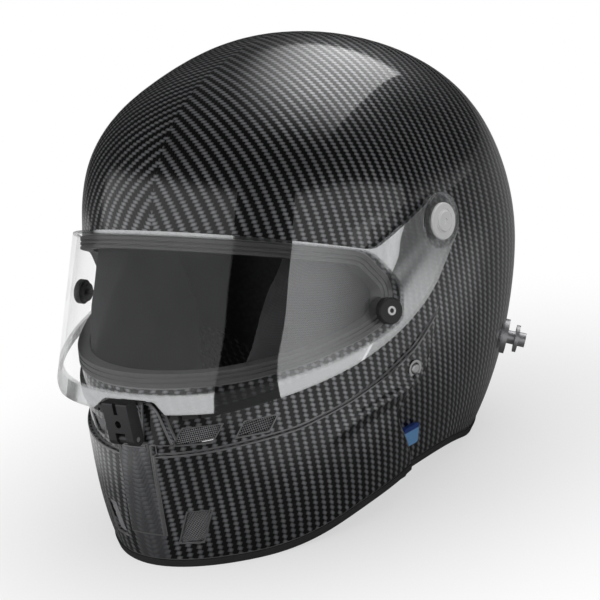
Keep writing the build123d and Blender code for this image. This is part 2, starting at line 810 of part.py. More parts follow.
with BuildPart() as latch_screw:
    with BuildSketch(front_plane.offset(-latch_face + spine_thickness)):
        with Locations((0, latch_screw_up)):
            Circle(latch_screw_head_radius)
    extrude(amount=latch_screw_head_height)
    with BuildSketch(front_plane.offset(-latch_face + spine_thickness + latch_screw_head_height)):
        with Locations((0, latch_screw_up)):
            RegularPolygon(latch_screw_radius, 6, major_radius=False)
    extrude(amount=-latch_screw_hex_depth, mode=Mode.SUBTRACT)
    with BuildSketch(front_plane.offset(-latch_face + spine_thickness)):
        with Locations((0, latch_screw_up)):
            Circle(latch_screw_radius)
    extrude(amount=-latch_screw_length)
write(latch_screw, "latch_screw")

# Head-restraint anchors
with BuildPart() as anchor_base:
    with BuildSketch(anchor_seat.offset(-shell_wall / 2)):
        Circle(anchor_base_radius)
    extrude(amount=shell_wall / 2 + anchor_base_thickness)
    add(outer_shell.part, mode=Mode.SUBTRACT)
    with BuildSketch(anchor_seat.offset(-shell_wall)):
        Circle(anchor_bolt_radius + insert_play)
    extrude(amount=cut_over, mode=Mode.SUBTRACT)
write_pair(anchor_base, "anchor_base")
with BuildPart() as anchor_post:
    level = anchor_base_thickness
    for radius, height in (
        (anchor_neck_radius, anchor_neck_length), (anchor_disc_radius, anchor_disc_thickness),
        (anchor_head_radius, anchor_head_height),
    ):
        with BuildSketch(anchor_seat.offset(level)):
            Circle(radius)
        extrude(amount=height)
        level += height
    with BuildSketch(anchor_seat.offset(level)):
        RegularPolygon(anchor_hex_across / 2, 6, major_radius=False)
    extrude(amount=-anchor_hex_depth, mode=Mode.SUBTRACT)
    with BuildSketch(anchor_seat.offset(anchor_base_thickness)):
        Circle(anchor_bolt_radius)
    bolt_depth = anchor_base_thickness + shell_wall + anchor_insert_flange_thickness
    extrude(amount=-bolt_depth)
write_pair(anchor_post, "anchor_post")
with BuildPart() as anchor_insert:
    with BuildSketch(anchor_seat.offset(-shell_wall / 2)):
        Circle(anchor_insert_flange_radius)
    extrude(amount=-shell_wall / 2 - anchor_insert_flange_thickness)
    add(outer_shell.part, mode=Mode.SUBTRACT)
    with BuildSketch(anchor_seat.offset(-shell_wall - anchor_insert_flange_thickness / 2)):
        Circle(anchor_insert_barrel_radius)
    extrude(amount=shell_wall / 2 + anchor_insert_flange_thickness / 2)
    with BuildSketch(anchor_seat):
        Circle(anchor_bolt_radius + insert_play)
    extrude(amount=-cut_over, mode=Mode.SUBTRACT)
write_pair(anchor_insert, "anchor_insert")

# Strap rivets with their rings
with BuildPart() as rivet_ring:
    with BuildSketch(rivet_seat.offset(-shell_wall / 2)):
        Circle(rivet_ring_outer_radius)
    extrude(amount=shell_wall / 2 + rivet_ring_height)
    add(outer_shell.part, mode=Mode.SUBTRACT)
    with BuildSketch(rivet_seat.offset(-shell_wall)):
        Circle(rivet_radius + insert_play)
    extrude(amount=cut_over, mode=Mode.SUBTRACT)
write_pair(rivet_ring, "rivet_ring")
with BuildPart() as rivet:
    with BuildSketch(rivet_seat.offset(-shell_wall / 2)):
        Circle(rivet_radius)
    extrude(amount=shell_wall / 2 + rivet_dome)
    fillet(top_edges(rivet, rivet_seat), rivet_dome_round)
    add(outer_shell.part, mode=Mode.SUBTRACT)
    with BuildSketch(rivet_seat.offset(rivet_dome / 2)):
        Circle(rivet_stem_radius)
    extrude(amount=-shell_wall - rivet_dome / 2 - strap_inset)
write_pair(rivet, "strap_rivet")

# Chin straps: webbing on the shell's inner wall, ending in a loop under the rim
rivet_y = rivet_share[0] * shell_half_width
rivet_z = rivet_share[1] * shell_half_width
strap_outline = [
    (rivet_y - strap_width / 2, rivet_z + strap_width / 2),
    (rivet_y + strap_width / 2, rivet_z + strap_width / 2),
    (rivet_y + strap_width / 2, strap_end_up), (rivet_y - strap_width / 2, strap_end_up),
]
with BuildPart() as strap:
    add(shell_form(-shell_wall - strap_inset))
    add(shell_form(-shell_wall - strap_inset - strap_thickness), mode=Mode.SUBTRACT)
    with BuildSketch(side_plane):
        with BuildLine():
            Polyline(strap_outline, close=True)
        make_face()
    extrude(amount=side_reach, mode=Mode.INTERSECT)
write_pair(strap, "chin_strap")

# Foam liner, and the soft lining inside it
foam_out = -shell_wall - foam_gap
foam_in = foam_out - foam_thickness
lining_out = foam_in - foam_gap
lining_in = lining_out - lining_thickness


def lining(outside, inside):
    """A layer between two forms of the shell."""
    with BuildPart() as layer:
        add(shell_form(outside))
        add(shell_form(inside), mode=Mode.SUBTRACT)
    return layer.part


def panel(layer, outline, half_depth=side_reach):
    """The part of a layer inside a side outline."""
    with BuildPart() as piece:
        add(layer)
        add(slab(outline, half_depth), mode=Mode.INTERSECT)
    return piece


def side_panel(layer, outline, start):
    """The part of a layer inside a side outline, on the left of a start."""
    with BuildPart() as piece:
        add(layer)
        with BuildSketch(side_plane.offset(start)):
            with BuildLine():
                Polyline(outline, close=True)
            make_face()
        extrude(amount=side_reach, mode=Mode.INTERSECT)
    return piece


foam_layer = lining(foam_out, foam_in)
lining_layer = lining(lining_out, lining_in)
foam_outline = sized(foam_edge_shares) + [(end_reach, end_reach), (-end_reach, end_reach)]
foam_centre = panel(foam_layer, foam_outline, foam_centre_half_width)
foam_split = Plane(origin=pivot_point + Vector(0, foam_split_behind, 0), z_dir=(0, 1, 0))
for name, keep in (("impact_liner_rear", Keep.TOP), ("impact_liner_front", Keep.BOTTOM)):
    with BuildPart() as foam_half:
        add(foam_centre.part)
        split(bisect_by=foam_split, keep=keep)
    write(foam_half, name)
with BuildPart() as foam_pockets:
    with BuildSketch(hinge_plane.offset(shell_inner_x - 2 * insert_flange_thickness - screw_tail)):
        Circle(insert_flange_radius + foam_gap)
    extrude(amount=side_reach)
    with BuildSketch(anchor_seat.offset(-shell_wall - 2 * anchor_insert_flange_thickness)):
        Circle(anchor_insert_flange_radius + foam_gap)
    extrude(amount=cut_over)
with BuildPart() as foam_side:
    add(side_panel(foam_layer, foam_outline, foam_centre_half_width + foam_gap).part)
    add(foam_pockets.part, mode=Mode.SUBTRACT)
write_pair(foam_side, "impact_liner")
write(panel(lining(foam_out, foam_out - chin_foam_thickness), sized(chin_foam_shares),
            chin_foam_half_width), "chin_bar_liner")
write(panel(lining_layer, sized(brow_shares), brow_half_width), "brow_pad")
write(panel(lining_layer, sized(crown_shares), crown_centre_half_width), "crown_pad")
write_pair(side_panel(lining_layer, sized(crown_shares), crown_centre_half_width + foam_gap),
           "crown_side_pad")
write(panel(lining_layer, sized(nape_shares)), "nape_pad")

# Cheek pads
with BuildPart() as strap_channel:
    add(shell_form(0))
    add(shell_form(-shell_wall - strap_inset - strap_thickness - cheek_strap_play), mode=Mode.SUBTRACT)
    with BuildSketch(side_plane):
        with Locations((rivet_y, rivet_z + strap_width / 2 + cheek_strap_play - end_reach / 2)):
            Rectangle(strap_width + 2 * cheek_strap_play, end_reach)
    extrude(amount=side_reach, mode=Mode.INTERSECT)
with BuildPart() as gasket_room:
    add(shell_form(0))
    add(shell_form(-gasket_inset - foam_gap), mode=Mode.SUBTRACT)
    add(eyeport_slab(-foam_gap), mode=Mode.INTERSECT)
with BuildPart() as cheek_pad:
    add(shell_form(foam_out))
    with BuildSketch(side_plane.offset(cheek_inner_x)):
        with BuildLine():
            Polyline(sized(cheek_shares), close=True)
        make_face()
        fillet(vertices(), cheek_corner)
    extrude(amount=side_reach, mode=Mode.INTERSECT)
    add(strap_channel.part, mode=Mode.SUBTRACT)
    add(gasket_room.part, mode=Mode.SUBTRACT)
write_pair(cheek_pad, "cheek_pad")

# Plug in the port behind the left pod
with BuildPart() as port_plug:
    add(shell_form(plug_stand))
    with BuildSketch(side_plane):
        with Locations(sized([plug_share])[0]):
            RectangleRounded(2 * plug_length, plug_height, plug_round)
    extrude(amount=side_reach, mode=Mode.INTERSECT)
    add(slab(chin_outline), mode=Mode.SUBTRACT)
    add(outer_form, mode=Mode.SUBTRACT)
write(port_plug, "port_plug")
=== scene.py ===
"""Full-face auto racing helmet in carbon fibre, dressed over its CAD frame.

The shell, visor and rubbers keep the CAD's edges and get exact surface normals, the
padding is modelled as soft pads, and every finish is procedural.
"""

import json
import logging
import math
from collections.abc import Callable
from dataclasses import dataclass
from enum import Enum

import bpy
import numpy as np
from mathutils import Matrix, Vector
from mathutils.bvhtree import BVHTree


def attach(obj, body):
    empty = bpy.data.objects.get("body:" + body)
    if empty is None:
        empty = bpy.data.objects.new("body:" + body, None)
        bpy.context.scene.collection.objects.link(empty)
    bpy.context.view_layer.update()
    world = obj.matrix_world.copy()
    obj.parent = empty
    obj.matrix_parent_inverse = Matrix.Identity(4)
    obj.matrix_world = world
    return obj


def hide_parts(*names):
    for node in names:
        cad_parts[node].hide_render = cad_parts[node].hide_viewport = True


logging.basicConfig(level=logging.INFO, format="%(message)s")
LOG = logging.getLogger("helmet")

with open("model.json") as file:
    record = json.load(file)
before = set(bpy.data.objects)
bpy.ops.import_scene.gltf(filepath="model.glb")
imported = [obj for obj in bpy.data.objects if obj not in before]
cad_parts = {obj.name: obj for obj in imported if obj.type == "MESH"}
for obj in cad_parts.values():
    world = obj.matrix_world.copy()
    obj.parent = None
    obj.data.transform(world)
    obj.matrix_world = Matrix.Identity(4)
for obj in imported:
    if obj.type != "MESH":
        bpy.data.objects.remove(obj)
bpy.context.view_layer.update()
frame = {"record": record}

MILLIMETRE = 0.001
HINGE = Vector(frame["record"]["behaviour"]["joints"][0]["pos_m"])
PIVOT = HINGE + Vector((0.0, 5.5, 1.8)) * MILLIMETRE
SIDES = ("left", "right")
SEAM = 0.01 * MILLIMETRE
TINY = 1e-9


class Body(Enum):
    """Bodies of the frame that pieces ride on."""

    HELMET = "helmet"
    VISOR = "visor"
    LATCH = "latch"


# Shader graph

class Wire:
    """A shader socket whose arithmetic adds Math nodes."""

    def __init__(self, graph: "Graph", socket: bpy.types.NodeSocket) -> None:
        """Wrap one socket of a graph."""
        self.graph = graph
        self.socket = socket

    def math(self, operation: str, *others: "Wire | float") -> "Wire":
        """Run one Math node on this value.

        Args:
            operation: The Math node's operation.
            others: The other operands, wires or numbers.

        Returns:
            The node's output.
        """
        inputs = {0: self, **{count + 1: other for count, other in enumerate(others)}}
        return self.graph.add("ShaderNodeMath", {"operation": operation}, inputs)

    def __add__(self, other: "Wire | float") -> "Wire":
        """Sum."""
        return self.math("ADD", other)

    __radd__ = __add__

    def __mul__(self, other: "Wire | float") -> "Wire":
        """Product."""
        return self.math("MULTIPLY", other)

    __rmul__ = __mul__

    def __sub__(self, other: "Wire | float") -> "Wire":
        """Difference."""
        return self.math("SUBTRACT", other)

    def __rsub__(self, other: float) -> "Wire":
        """The number less this."""
        return (self * -1.0) + other

    def __truediv__(self, other: "Wire | float") -> "Wire":
        """Quotient."""
        return self.math("DIVIDE", other)

    def __mod__(self, other: "Wire | float") -> "Wire":
        """Rest after whole multiples of the other."""
        return self.math("FLOORED_MODULO", other)

    def __abs__(self) -> "Wire":
        """Size without the sign."""
        return self.math("ABSOLUTE")

    def floor(self) -> "Wire":
        """Whole part."""
        return self.math("FLOOR")

    def fraction(self) -> "Wire":
        """Part after the point."""
        return self.math("FRACT")

    def sine(self) -> "Wire":
        """Sine of an angle in radians."""
        return self.math("SINE")

    def root(self) -> "Wire":
        """Square root."""
        return self.math("SQRT")

    def at_least(self, low: float) -> "Wire":
        """This, or the number where this is smaller."""
        return self.math("MAXIMUM", low)

    def bearing(self, other: "Wire") -> "Wire":
        """Angle in radians whose tangent is this over the other."""
        return self.math("ARCTAN2", other)

    def above(self, edge: float) -> "Wire":
        """1 where this is above the edge, else 0."""
        return self.math("GREATER_THAN", edge)

    def smooth_max(self, other: "Wire", softness: float) -> "Wire":
        """Larger of two values, rounded where they meet over a softness."""
        return self.math("SMOOTH_MAX", other, softness)

    def vary(self, amount: float) -> "Wire":
        """This, from 0 to 1, as a factor that varies by an amount about 1."""
        return self * amount + (1.0 - amount / 2)

    def lifted(self) -> "Wire":
        """This, from -1 to 1, brought to 0 to 1."""
        return self * 0.5 + 0.5

    def ramp(self, low: float, high: float) -> "Wire":
        """Smooth step from 0 at low to 1 at high.

        Args:
            low: Value that gives 0.
            high: Value that gives 1.

        Returns:
            The stepped value.
        """
        settings = {"interpolation_type": "SMOOTHSTEP"}
        return self.graph.add(
            "ShaderNodeMapRange", settings, {"Value": self, "From Min": low, "From Max": high}
        )


class Graph:
    """The nodes of one material, light or world."""

    def __init__(self, owner: bpy.types.Material | bpy.types.Light | bpy.types.World) -> None:
        """Start with no nodes.

        Args:
            owner: The material, light or world.
        """
        owner.use_nodes = True
        self.tree = owner.node_tree
        self.tree.nodes.clear()

    def add(self, kind: str, settings: dict | None = None, inputs: dict | None = None,
            output: int | str = 0) -> Wire:
        """Add one node.

        Args:
            kind: The node's type.
            settings: Its settings, set before its sockets.
            inputs: Values or wires by socket name or number.
            output: The output that is wanted.

        Returns:
            That output as a wire.
        """
        node = self.tree.nodes.new(kind)
        for name, value in (settings or {}).items():
            setattr(node, name, value)
        for name, value in (inputs or {}).items():
            if isinstance(value, Wire):
                self.tree.links.new(value.socket, node.inputs[name])
            else:
                node.inputs[name].default_value = value
        return Wire(self, node.outputs[output] if len(node.outputs) else None)

    def parts(self, vector: Wire) -> list[Wire]:
        """The three parts of a vector."""
        split = self.add("ShaderNodeSeparateXYZ", inputs={"Vector": vector})
        return [Wire(self, part) for part in split.socket.node.outputs]

    def place(self) -> list[Wire]:
        """Millimetres across, backward and upward from the middle of the pivot line."""
        coords = self.add("ShaderNodeTexCoord", output="Object")
        return [(part - start) * (1 / MILLIMETRE) for part, start in zip(self.parts(coords), PIVOT)]

    def noise(self, scale: float, detail: float = 2.0, stretch: tuple = (1, 1, 1)) -> Wire:
        """Noise on object coordinates.

        Args:
            scale: Features per metre.
            detail: Octaves.
            stretch: Scale along each axis.

        Returns:
            The noise value.
        """
        coords = self.add("ShaderNodeTexCoord", output="Object")
        mapped = self.add("ShaderNodeMapping", inputs={"Vector": coords, "Scale": stretch})
        return self.add(
            "ShaderNodeTexNoise", inputs={"Vector": mapped, "Scale": scale, "Detail": detail}
        )

    def blend(self, factor: Wire, first: tuple | Wire, second: tuple | Wire) -> Wire:
        """Mix two colours.

        Args:
            factor: 0 gives the first, 1 the second.
            first: Colour or wire.
            second: Colour or wire.

        Returns:
            The mixed colour.
        """
        ends = [end if isinstance(end, Wire) else (*end, 1.0) for end in (first, second)]
        inputs = {0: factor, 6: ends[0], 7: ends[1]}
        return self.add("ShaderNodeMix", {"data_type": "RGBA"}, inputs, output=2)

    def cast(self, tone: Wire, channels: tuple) -> Wire:
        """A grey tone with a cast of colour.

        Args:
            tone: The grey.
            channels: Factors for red, green and blue.

        Returns:
            The colour.
        """
        named = zip(("Red", "Green", "Blue"), channels)
        return self.add(
            "ShaderNodeCombineColor", inputs={name: tone * factor for name, factor in named}
        )

    def bump(self, height: Wire, distance: float, strength: float) -> Wire:
        """Bump from a height.

        Args:
            height: The height, 0 to 1.
            distance: Its size in metres.
            strength: How much of it shows.

        Returns:
            The bumped normal.
        """
        return self.add(
            "ShaderNodeBump",
            inputs={"Height": height, "Distance": distance, "Strength": strength},
            output="Normal",
        )

    def ray(self, kind: str) -> Wire:
        """1 on one kind of light path, else 0."""
        return self.add("ShaderNodeLightPath", output=kind)

    def mix(self, factor: Wire, first: Wire, second: Wire) -> Wire:
        """Mix two shaders.

        Args:
            factor: 0 gives the first, 1 the second.
            first: A shader.
            second: Another.

        Returns:
            The mixed shader.
        """
        return self.add("ShaderNodeMixShader", inputs={0: factor, 1: first, 2: second})

    def surface(self, inputs: dict) -> None:
        """Close the graph with a Principled shader.

        Args:
            inputs: Its sockets' values or wires.
        """
        shader = self.add("ShaderNodeBsdfPrincipled", inputs=inputs)
        self.add("ShaderNodeOutputMaterial", inputs={"Surface": shader})


# Finishes

MADE: dict[str, bpy.types.Material] = {}


@dataclass(frozen=True)
class Finish:
    """Base of the finishes: a named material that is made once."""

    name: str = "finish"

    def material(self) -> bpy.types.Material:
        """The finish's material, made on first use.

        Returns:
            The material.
        """
        found = MADE.get(self.name)
        if found is None:
            found = MADE[self.name] = bpy.data.materials.new(self.name)
            self.paint(Graph(found))
        return found

    def paint(self, graph: Graph) -> None:
        """Build the nodes.

        Args:
            graph: The material's graph.
        """
        raise NotImplementedError


@dataclass(frozen=True)
class CarbonTwill(Finish):
    """Two-by-two carbon twill under a clear coat, laid in a chevron about the middle.

    Places and sizes are in millimetres from the middle of the pivot line, the relief in metres
    and the scales in features per metre. The ribs run straight back over the crown and turn
    round the back below it. Along the keel the weave gives way to a smooth, lighter grey.
    """

    name: str = "carbon_twill"
    tow: float = 1.80
    repeat: float = 4.0
    arch: float = 0.55
    slant: float = 0.50
    slant_width: float = 300.0
    rear_radius: float = 130.0
    rear_length: float = 165.0
    crown: tuple = (-10.0, 90.0)
    fall: float = 0.85
    drift: float = 0.60
    warp_sheen_tone: float = 0.36
    weft_tone: float = 0.007
    glint: float = 0.85
    cool: tuple = (0.97, 0.985, 1.04)
    fibre_scale: float = 420.0
    fibre_contrast: float = 0.7
    fibre_relief: float = 0.12
    mottle_scale: float = 26.0
    mottle: float = 0.6
    relief: float = 0.00022
    relief_strength: float = 0.55
    metallic: float = 0.55
    rough: float = 0.40
    warp_gloss: float = 0.08
    keel_side: tuple = (11.5, 13.0)
    keel_top: tuple = (-87.0, -84.0)
    keel_blend: float = 0.75
    keel_tone: float = 0.15
    keel_grain: float = 0.3

    def paint(self, graph: Graph) -> None:
        """Build the twill from the two tow directions, each tow a rounded ridge painted lighter along
        its crest as a highlight.

        Args:
            graph: The material's graph.
        """
        across, backward, upward = graph.place()
        aside = abs(across)
        ribs = self._ribs(aside, backward, upward)
        down = upward * self.fall - aside * self.drift
        step = self.tow * math.sqrt(2)
        half = self.repeat / 2
        warp, weft = (ribs + down) / step, (down - ribs) / step
        warp_count, weft_count = warp.floor(), weft.floor()
        on_top = (((warp_count - weft_count) % self.repeat) * -1.0).above(0.5 - half)
        along_warp = ((warp_count - weft + 1.0) % self.repeat) * (1 / half)
        along_weft = ((warp - weft_count) % self.repeat - half) * (1 / half)
        height = (self._tow(warp, along_warp) * on_top
                  + self._tow(weft, along_weft) * (1.0 - on_top))
        fibres = graph.noise(self.fibre_scale, 3.0)
        # Painted sheen and highlight: the warp tows are painted far lighter than the weft in place of
        # the fibres' directional reflection, and each tow is painted lighter along its crest.
        light = height * graph.noise(self.mottle_scale, 1.0).vary(self.mottle)
        tone = on_top * self.warp_sheen_tone + (1.0 - on_top) * self.weft_tone
        weave = tone * (light * light * self.glint + (1.0 - self.glint))
        weave = weave * fibres.vary(self.fibre_contrast)
        # Along the keel the weave fades into a smooth, lighter grey tone.
        keel = (1.0 - aside.ramp(*self.keel_side)) * (1.0 - upward.ramp(*self.keel_top))
        keel = keel * self.keel_blend
        shade = weave * (1.0 - keel) + keel * fibres.vary(self.keel_grain) * self.keel_tone
        graph.surface({
            "Base Color": graph.cast(shade, self.cool), "Metallic": self.metallic,
            "Roughness": self.rough - on_top * self.warp_gloss,
            "Normal": graph.bump(
                height + fibres * self.fibre_relief, self.relief, self.relief_strength
            ),
            "Coat Weight": 1.0, "Coat Roughness": 0.02, "Coat IOR": 1.5,
            "Specular IOR Level": 0.35,
        })

    def _ribs(self, aside: Wire, backward: Wire, upward: Wire) -> Wire:
        """Distance along the direction that the twill's ribs are counted in.

        Args:
            aside: Distance to either side.
            backward: Distance behind the pivot line.
            upward: Distance above it.

        Returns:
            The distance.
        """
        behind = backward.at_least(0.0)
        turned = behind.bearing(aside + 0.001) * self.rear_radius
        below_crown = 1.0 - upward.ramp(*self.crown)
        lean = 1.0 - backward.ramp(0.0, self.rear_length)
        chevron = aside * self.slant / (aside * (1 / self.slant_width) + 1.0)
        return backward + (turned - behind) * below_crown + chevron * lean

    def _tow(self, count: Wire, along: Wire) -> Wire:
        """Height of a tow, rounded across it and arched along it.

        Args:
            count: Tows counted across the weave.
            along: Half turns along the arch.

        Returns:
            The height, 0 to 1.
        """
        part = count.fraction()
        rounded = (part * (1.0 - part) * 4.0).root()
        return rounded * ((along * math.pi).sine() * self.arch + (1.0 - self.arch))


@dataclass(frozen=True)
class ClearVisor(Finish):
    """Clear visor: see-through over the eyeport, milky where it lies over the shell.

    The window's outline is in the side view, in shares of its unit. Edges and the glare's rise
    and fall are in millimetres.
    """

    name: str = "visor_polycarbonate"
    tint: tuple = (0.80, 0.82, 0.84)
    wiped_tint: tuple = (0.9, 0.9, 0.9)
    skin: float = 0.021
    wiped_skin: float = 0.02
    glare: float = 0.12
    glare_rise: tuple = (-119.0, -104.0)
    glare_fall: tuple = (-97.0, -56.0)
    glare_lost: float = 0.95
    lean: float = 0.40
    milk: float = 0.56
    milk_edge: tuple = (0.2, 1.6)
    boss: float = 0.26
    boss_edge: tuple = (15.2, 16.4)
    gloss: float = 0.015
    scuff: float = 0.02
    wipe_scale: float = 9.0
    wipe_stretch: tuple = (1.0, 1.0, 3.0)
    unit: float = 122.0
    window: tuple = (
        (-0.967, 0.195), (-0.496, -0.017), (-0.392, -0.215), (-0.435, -0.372),
        (-0.600, -0.412), (-0.820, -0.444), (-1.080, -0.460),
    )
    window_corner: float = 7.0

    def paint(self, graph: Graph) -> None:
        """Build the skin from the window's outline in the side view.

        Args:
            graph: The material's graph.
        """
        wipe = graph.noise(self.wipe_scale, 3.0, self.wipe_stretch)
        _, backward, upward = graph.place()
        milky = self._outside(backward, upward).ramp(*self.milk_edge)
        _, hinge_back, hinge_up = (HINGE - PIVOT) / MILLIMETRE
        back, up = backward - hinge_back, upward - hinge_up
        arm = (back * back + up * up).root().ramp(*self.boss_edge)
        around = backward - upward * self.lean
        lost = around.ramp(*self.glare_fall) * self.glare_lost
        glare = around.ramp(*self.glare_rise) * (1.0 - lost)
        clear = wipe * self.wiped_skin + self.skin + glare * self.glare
        border = arm * (self.milk - self.boss) + self.boss
        graph.surface({
            "Base Color": graph.blend(wipe, self.tint, self.wiped_tint),
            "Metallic": 1.0, "Roughness": wipe * self.scuff + self.gloss,
            "Alpha": clear + (border - clear) * milky,
        })

    def _outside(self, backward: Wire, upward: Wire) -> Wire:
        """Distance outside the window's outline.

        Args:
            backward: Distance behind the pivot line.
            upward: Distance above it.

        Returns:
            The distance, negative inside.
        """
        outside = None
        for start, end in zip(self.window, self.window[1:]):
            run, rise = end[0] - start[0], end[1] - start[1]
            length = math.hypot(run, rise)
            side = ((backward - start[0] * self.unit) * (-rise / length)
                    + (upward - start[1] * self.unit) * (run / length))
            outside = side if outside is None else outside.smooth_max(side, self.window_corner)
        return outside


@dataclass(frozen=True)
class PadCloth(Finish):
    """Fine flame-resistant knit: small loops, sheen at the edges and a soft nap."""

    name: str = "pad_cloth"
    tone: float = 0.016
    pitch: float = 1.3
    row_slant: float = 0.6
    loop_slant: float = 0.3
    knit_contrast: float = 0.3
    nap_scale: float = 55.0
    nap_contrast: float = 0.6
    depth: float = 0.00025
    cool: tuple = (1.0, 1.0, 1.06)

    def paint(self, graph: Graph) -> None:
        """Build the knit's loops from two crossed waves, with a mottled nap.

        Args:
            graph: The material's graph.
        """
        across, backward, upward = graph.place()
        turn = math.tau / self.pitch
        rows = ((backward + across * self.row_slant) * turn).sine()
        loops = ((upward + across * self.loop_slant) * turn + rows).sine()
        knit = (rows * loops).lifted()
        nap = graph.noise(self.nap_scale, 4.0)
        tone = knit.vary(self.knit_contrast) * nap.vary(self.nap_contrast) * self.tone
        graph.surface({
            "Base Color": graph.cast(tone, self.cool), "Roughness": 0.92,
            "Normal": graph.bump(knit * 0.7 + nap * 0.5, self.depth, 0.5),
            "Sheen Weight": 0.04, "Sheen Roughness": 0.4, "Specular IOR Level": 0.2,
        })


@dataclass(frozen=True)
class BeadFoam(Finish):
    """Black expanded foam with its beads showing."""

    name: str = "bead_foam"
    tone: float = 0.022
    bead_light: float = 1.5
    bead_dark: float = 0.6
    beads: float = 330.0
    depth: float = 0.0003

    def paint(self, graph: Graph) -> None:
        """Build the beads from cells.

        Args:
            graph: The material's graph.
        """
        coords = graph.add("ShaderNodeTexCoord", output="Object")
        cells = graph.add(
            "ShaderNodeTexVoronoi", inputs={"Vector": coords, "Scale": self.beads},
            output="Distance",
        )
        light, dark = ((self.tone * share,) * 3 for share in (self.bead_light, self.bead_dark))
        graph.surface({
            "Base Color": graph.blend(cells, light, dark),
            "Roughness": 0.75, "Normal": graph.bump(1.0 - cells, self.depth, 0.6),
        })


@dataclass(frozen=True)
class Webbing(Finish):
    """Black woven webbing: a fine herringbone of ribs."""

    name: str = "webbing"
    dark: tuple = (0.012, 0.012, 0.012)
    light: tuple = (0.045, 0.045, 0.045)
    rib_pitch: float = 1.9
    rib_slant: float = 0.8
    rib_share: float = 0.7
    end_pitch: float = 1.2
    depth: float = 0.0004

    def paint(self, graph: Graph) -> None:
        """Build the ribs from the height along the strap.

        Args:
            graph: The material's graph.
        """
        _, backward, upward = graph.place()
        rise = upward + abs(backward) * self.rib_slant
        ribs = (rise * (math.tau / self.rib_pitch)).sine().lifted()
        ends = (backward * (math.tau / self.end_pitch)).sine().lifted()
        weave = ribs * self.rib_share + ends * (1.0 - self.rib_share)
        graph.surface({
            "Base Color": graph.blend(weave, self.dark, self.light), "Roughness": 0.72,
            "Normal": graph.bump(weave, self.depth, 0.8), "Sheen Weight": 0.2,
        })


@dataclass(frozen=True)
class Metal(Finish):
    """Metal with fine machining marks and a few rougher scuffs."""

    name: str = "metal"
    colour: tuple = (0.6, 0.6, 0.61)
    rough: float = 0.3
    metallic: float = 1.0
    marks: float = 0.08
    scuffs: float = 0.1
    marked: float = 0.75
    mark_scale: float = 260.0
    mark_stretch: tuple = (1.0, 1.0, 9.0)
    scuff_scale: float = 40.0
    scuff_edge: tuple = (0.55, 0.75)
    depth: float = 0.00004

    def paint(self, graph: Graph) -> None:
        """Build the marks and scuffs.

        Args:
            graph: The material's graph.
        """
        marks = graph.noise(self.mark_scale, 3.0, self.mark_stretch)
        scuffs = graph.noise(self.scuff_scale, 4.0).ramp(*self.scuff_edge)
        dark = tuple(channel * self.marked for channel in self.colour)
        graph.surface({
            "Base Color": graph.blend(marks, dark, self.colour), "Metallic": self.metallic,
            "Roughness": marks * self.marks + scuffs * self.scuffs + self.rough,
            "Normal": graph.bump(marks, self.depth, 0.35),
        })


@dataclass(frozen=True)
class Plastic(Finish):
    """Moulded plastic with a fine texture, a slight unevenness and, on request, a cap."""

    name: str = "plastic"
    colour: tuple = (0.03, 0.03, 0.03)
    rough: float = 0.4
    cap: tuple = ()
    cap_edge: tuple = (0.0, 0.5)
    lighter: float = 1.25
    lift: float = 0.01
    uneven_scale: float = 45.0
    uneven_detail: float = 2.0
    uneven_rough: float = 0.12
    texture_scale: float = 900.0
    depth: float = 0.00004

    def paint(self, graph: Graph) -> None:
        """Build the texture and the unevenness.

        Args:
            graph: The material's graph.
        """
        texture = graph.noise(self.texture_scale)
        uneven = graph.noise(self.uneven_scale, self.uneven_detail)
        worn = tuple(min(1.0, channel * self.lighter + self.lift) for channel in self.colour)
        body = graph.blend(uneven, self.colour, worn)
        if self.cap:
            _, _, upward = graph.place()
            body = graph.blend(upward.ramp(*self.cap_edge), body, self.cap)
        graph.surface({
            "Base Color": body, "Roughness": uneven * self.uneven_rough + self.rough,
            "Normal": graph.bump(texture, self.depth, 0.3),
        })


@dataclass(frozen=True)
class Rubber(Plastic):
    """Matt rubber: a finer grain than plastic's, and dust."""

    name: str = "rubber"
    colour: tuple = (0.030, 0.030, 0.030)
    rough: float = 0.46
    lighter: float = 1.9
    lift: float = 0.0
    uneven_scale: float = 30.0
    uneven_detail: float = 3.0
    texture_scale: float = 1400.0
    depth: float = 0.00008


CARBON = CarbonTwill()
# Lighter grey for the shell's rounded sharp edges: a painted highlight along its creases, vents and
# rims.
EDGE_HIGHLIGHT = Metal("painted_edge_highlight", (0.30, 0.30, 0.31), 0.25, 0.5)
VISOR = ClearVisor()
RUBBER = Rubber()
GASKET = Rubber("gasket_rubber", (0.075, 0.075, 0.075), 0.40)
CLOTH = PadCloth()
CHEEK_CLOTH = PadCloth("cheek_cloth", 0.060)
FOAM = BeadFoam()
STRAP = Webbing()
STEEL = Metal("turned_steel", (0.62, 0.62, 0.63), 0.28)
MESH_WIRE = Metal("mesh_wire", (0.72, 0.72, 0.74), 0.40, 0.3)
LATCH_GREY = Metal("latch_grey", (0.10, 0.10, 0.105), 0.30, 0.75)
ANCHOR = Metal("anchor_metal", (0.62, 0.62, 0.64), 0.34, 0.7)
WHITE = Plastic("white_plastic", (0.92, 0.92, 0.92), 0.30)
BLACK = Plastic("black_plastic", (0.020, 0.020, 0.021), 0.38)
BLUE = Plastic("blue_plastic", (0.16, 0.36, 0.66), 0.38, (0.015, 0.05, 0.24), (-119.5, -119.0))


# Mesh helpers

def deselect() -> None:
    """Deselect everything."""
    bpy.ops.object.select_all(action="DESELECT")


def pick(obj: bpy.types.Object) -> None:
    """Make one object the only selected and active one.

    Args:
        obj: The object.
    """
    deselect()
    obj.select_set(True)
    bpy.context.view_layer.objects.active = obj


def merge(piece: bpy.types.Object, distance: float) -> None:
    """Merge a piece's doubled corners.

    Args:
        piece: The piece.
        distance: Corners nearer than this become one.
    """
    pick(piece)
    bpy.ops.object.mode_set(mode="EDIT")
    bpy.ops.mesh.select_all(action="SELECT")
    bpy.ops.mesh.remove_doubles(threshold=distance)
    bpy.ops.object.mode_set(mode="OBJECT")


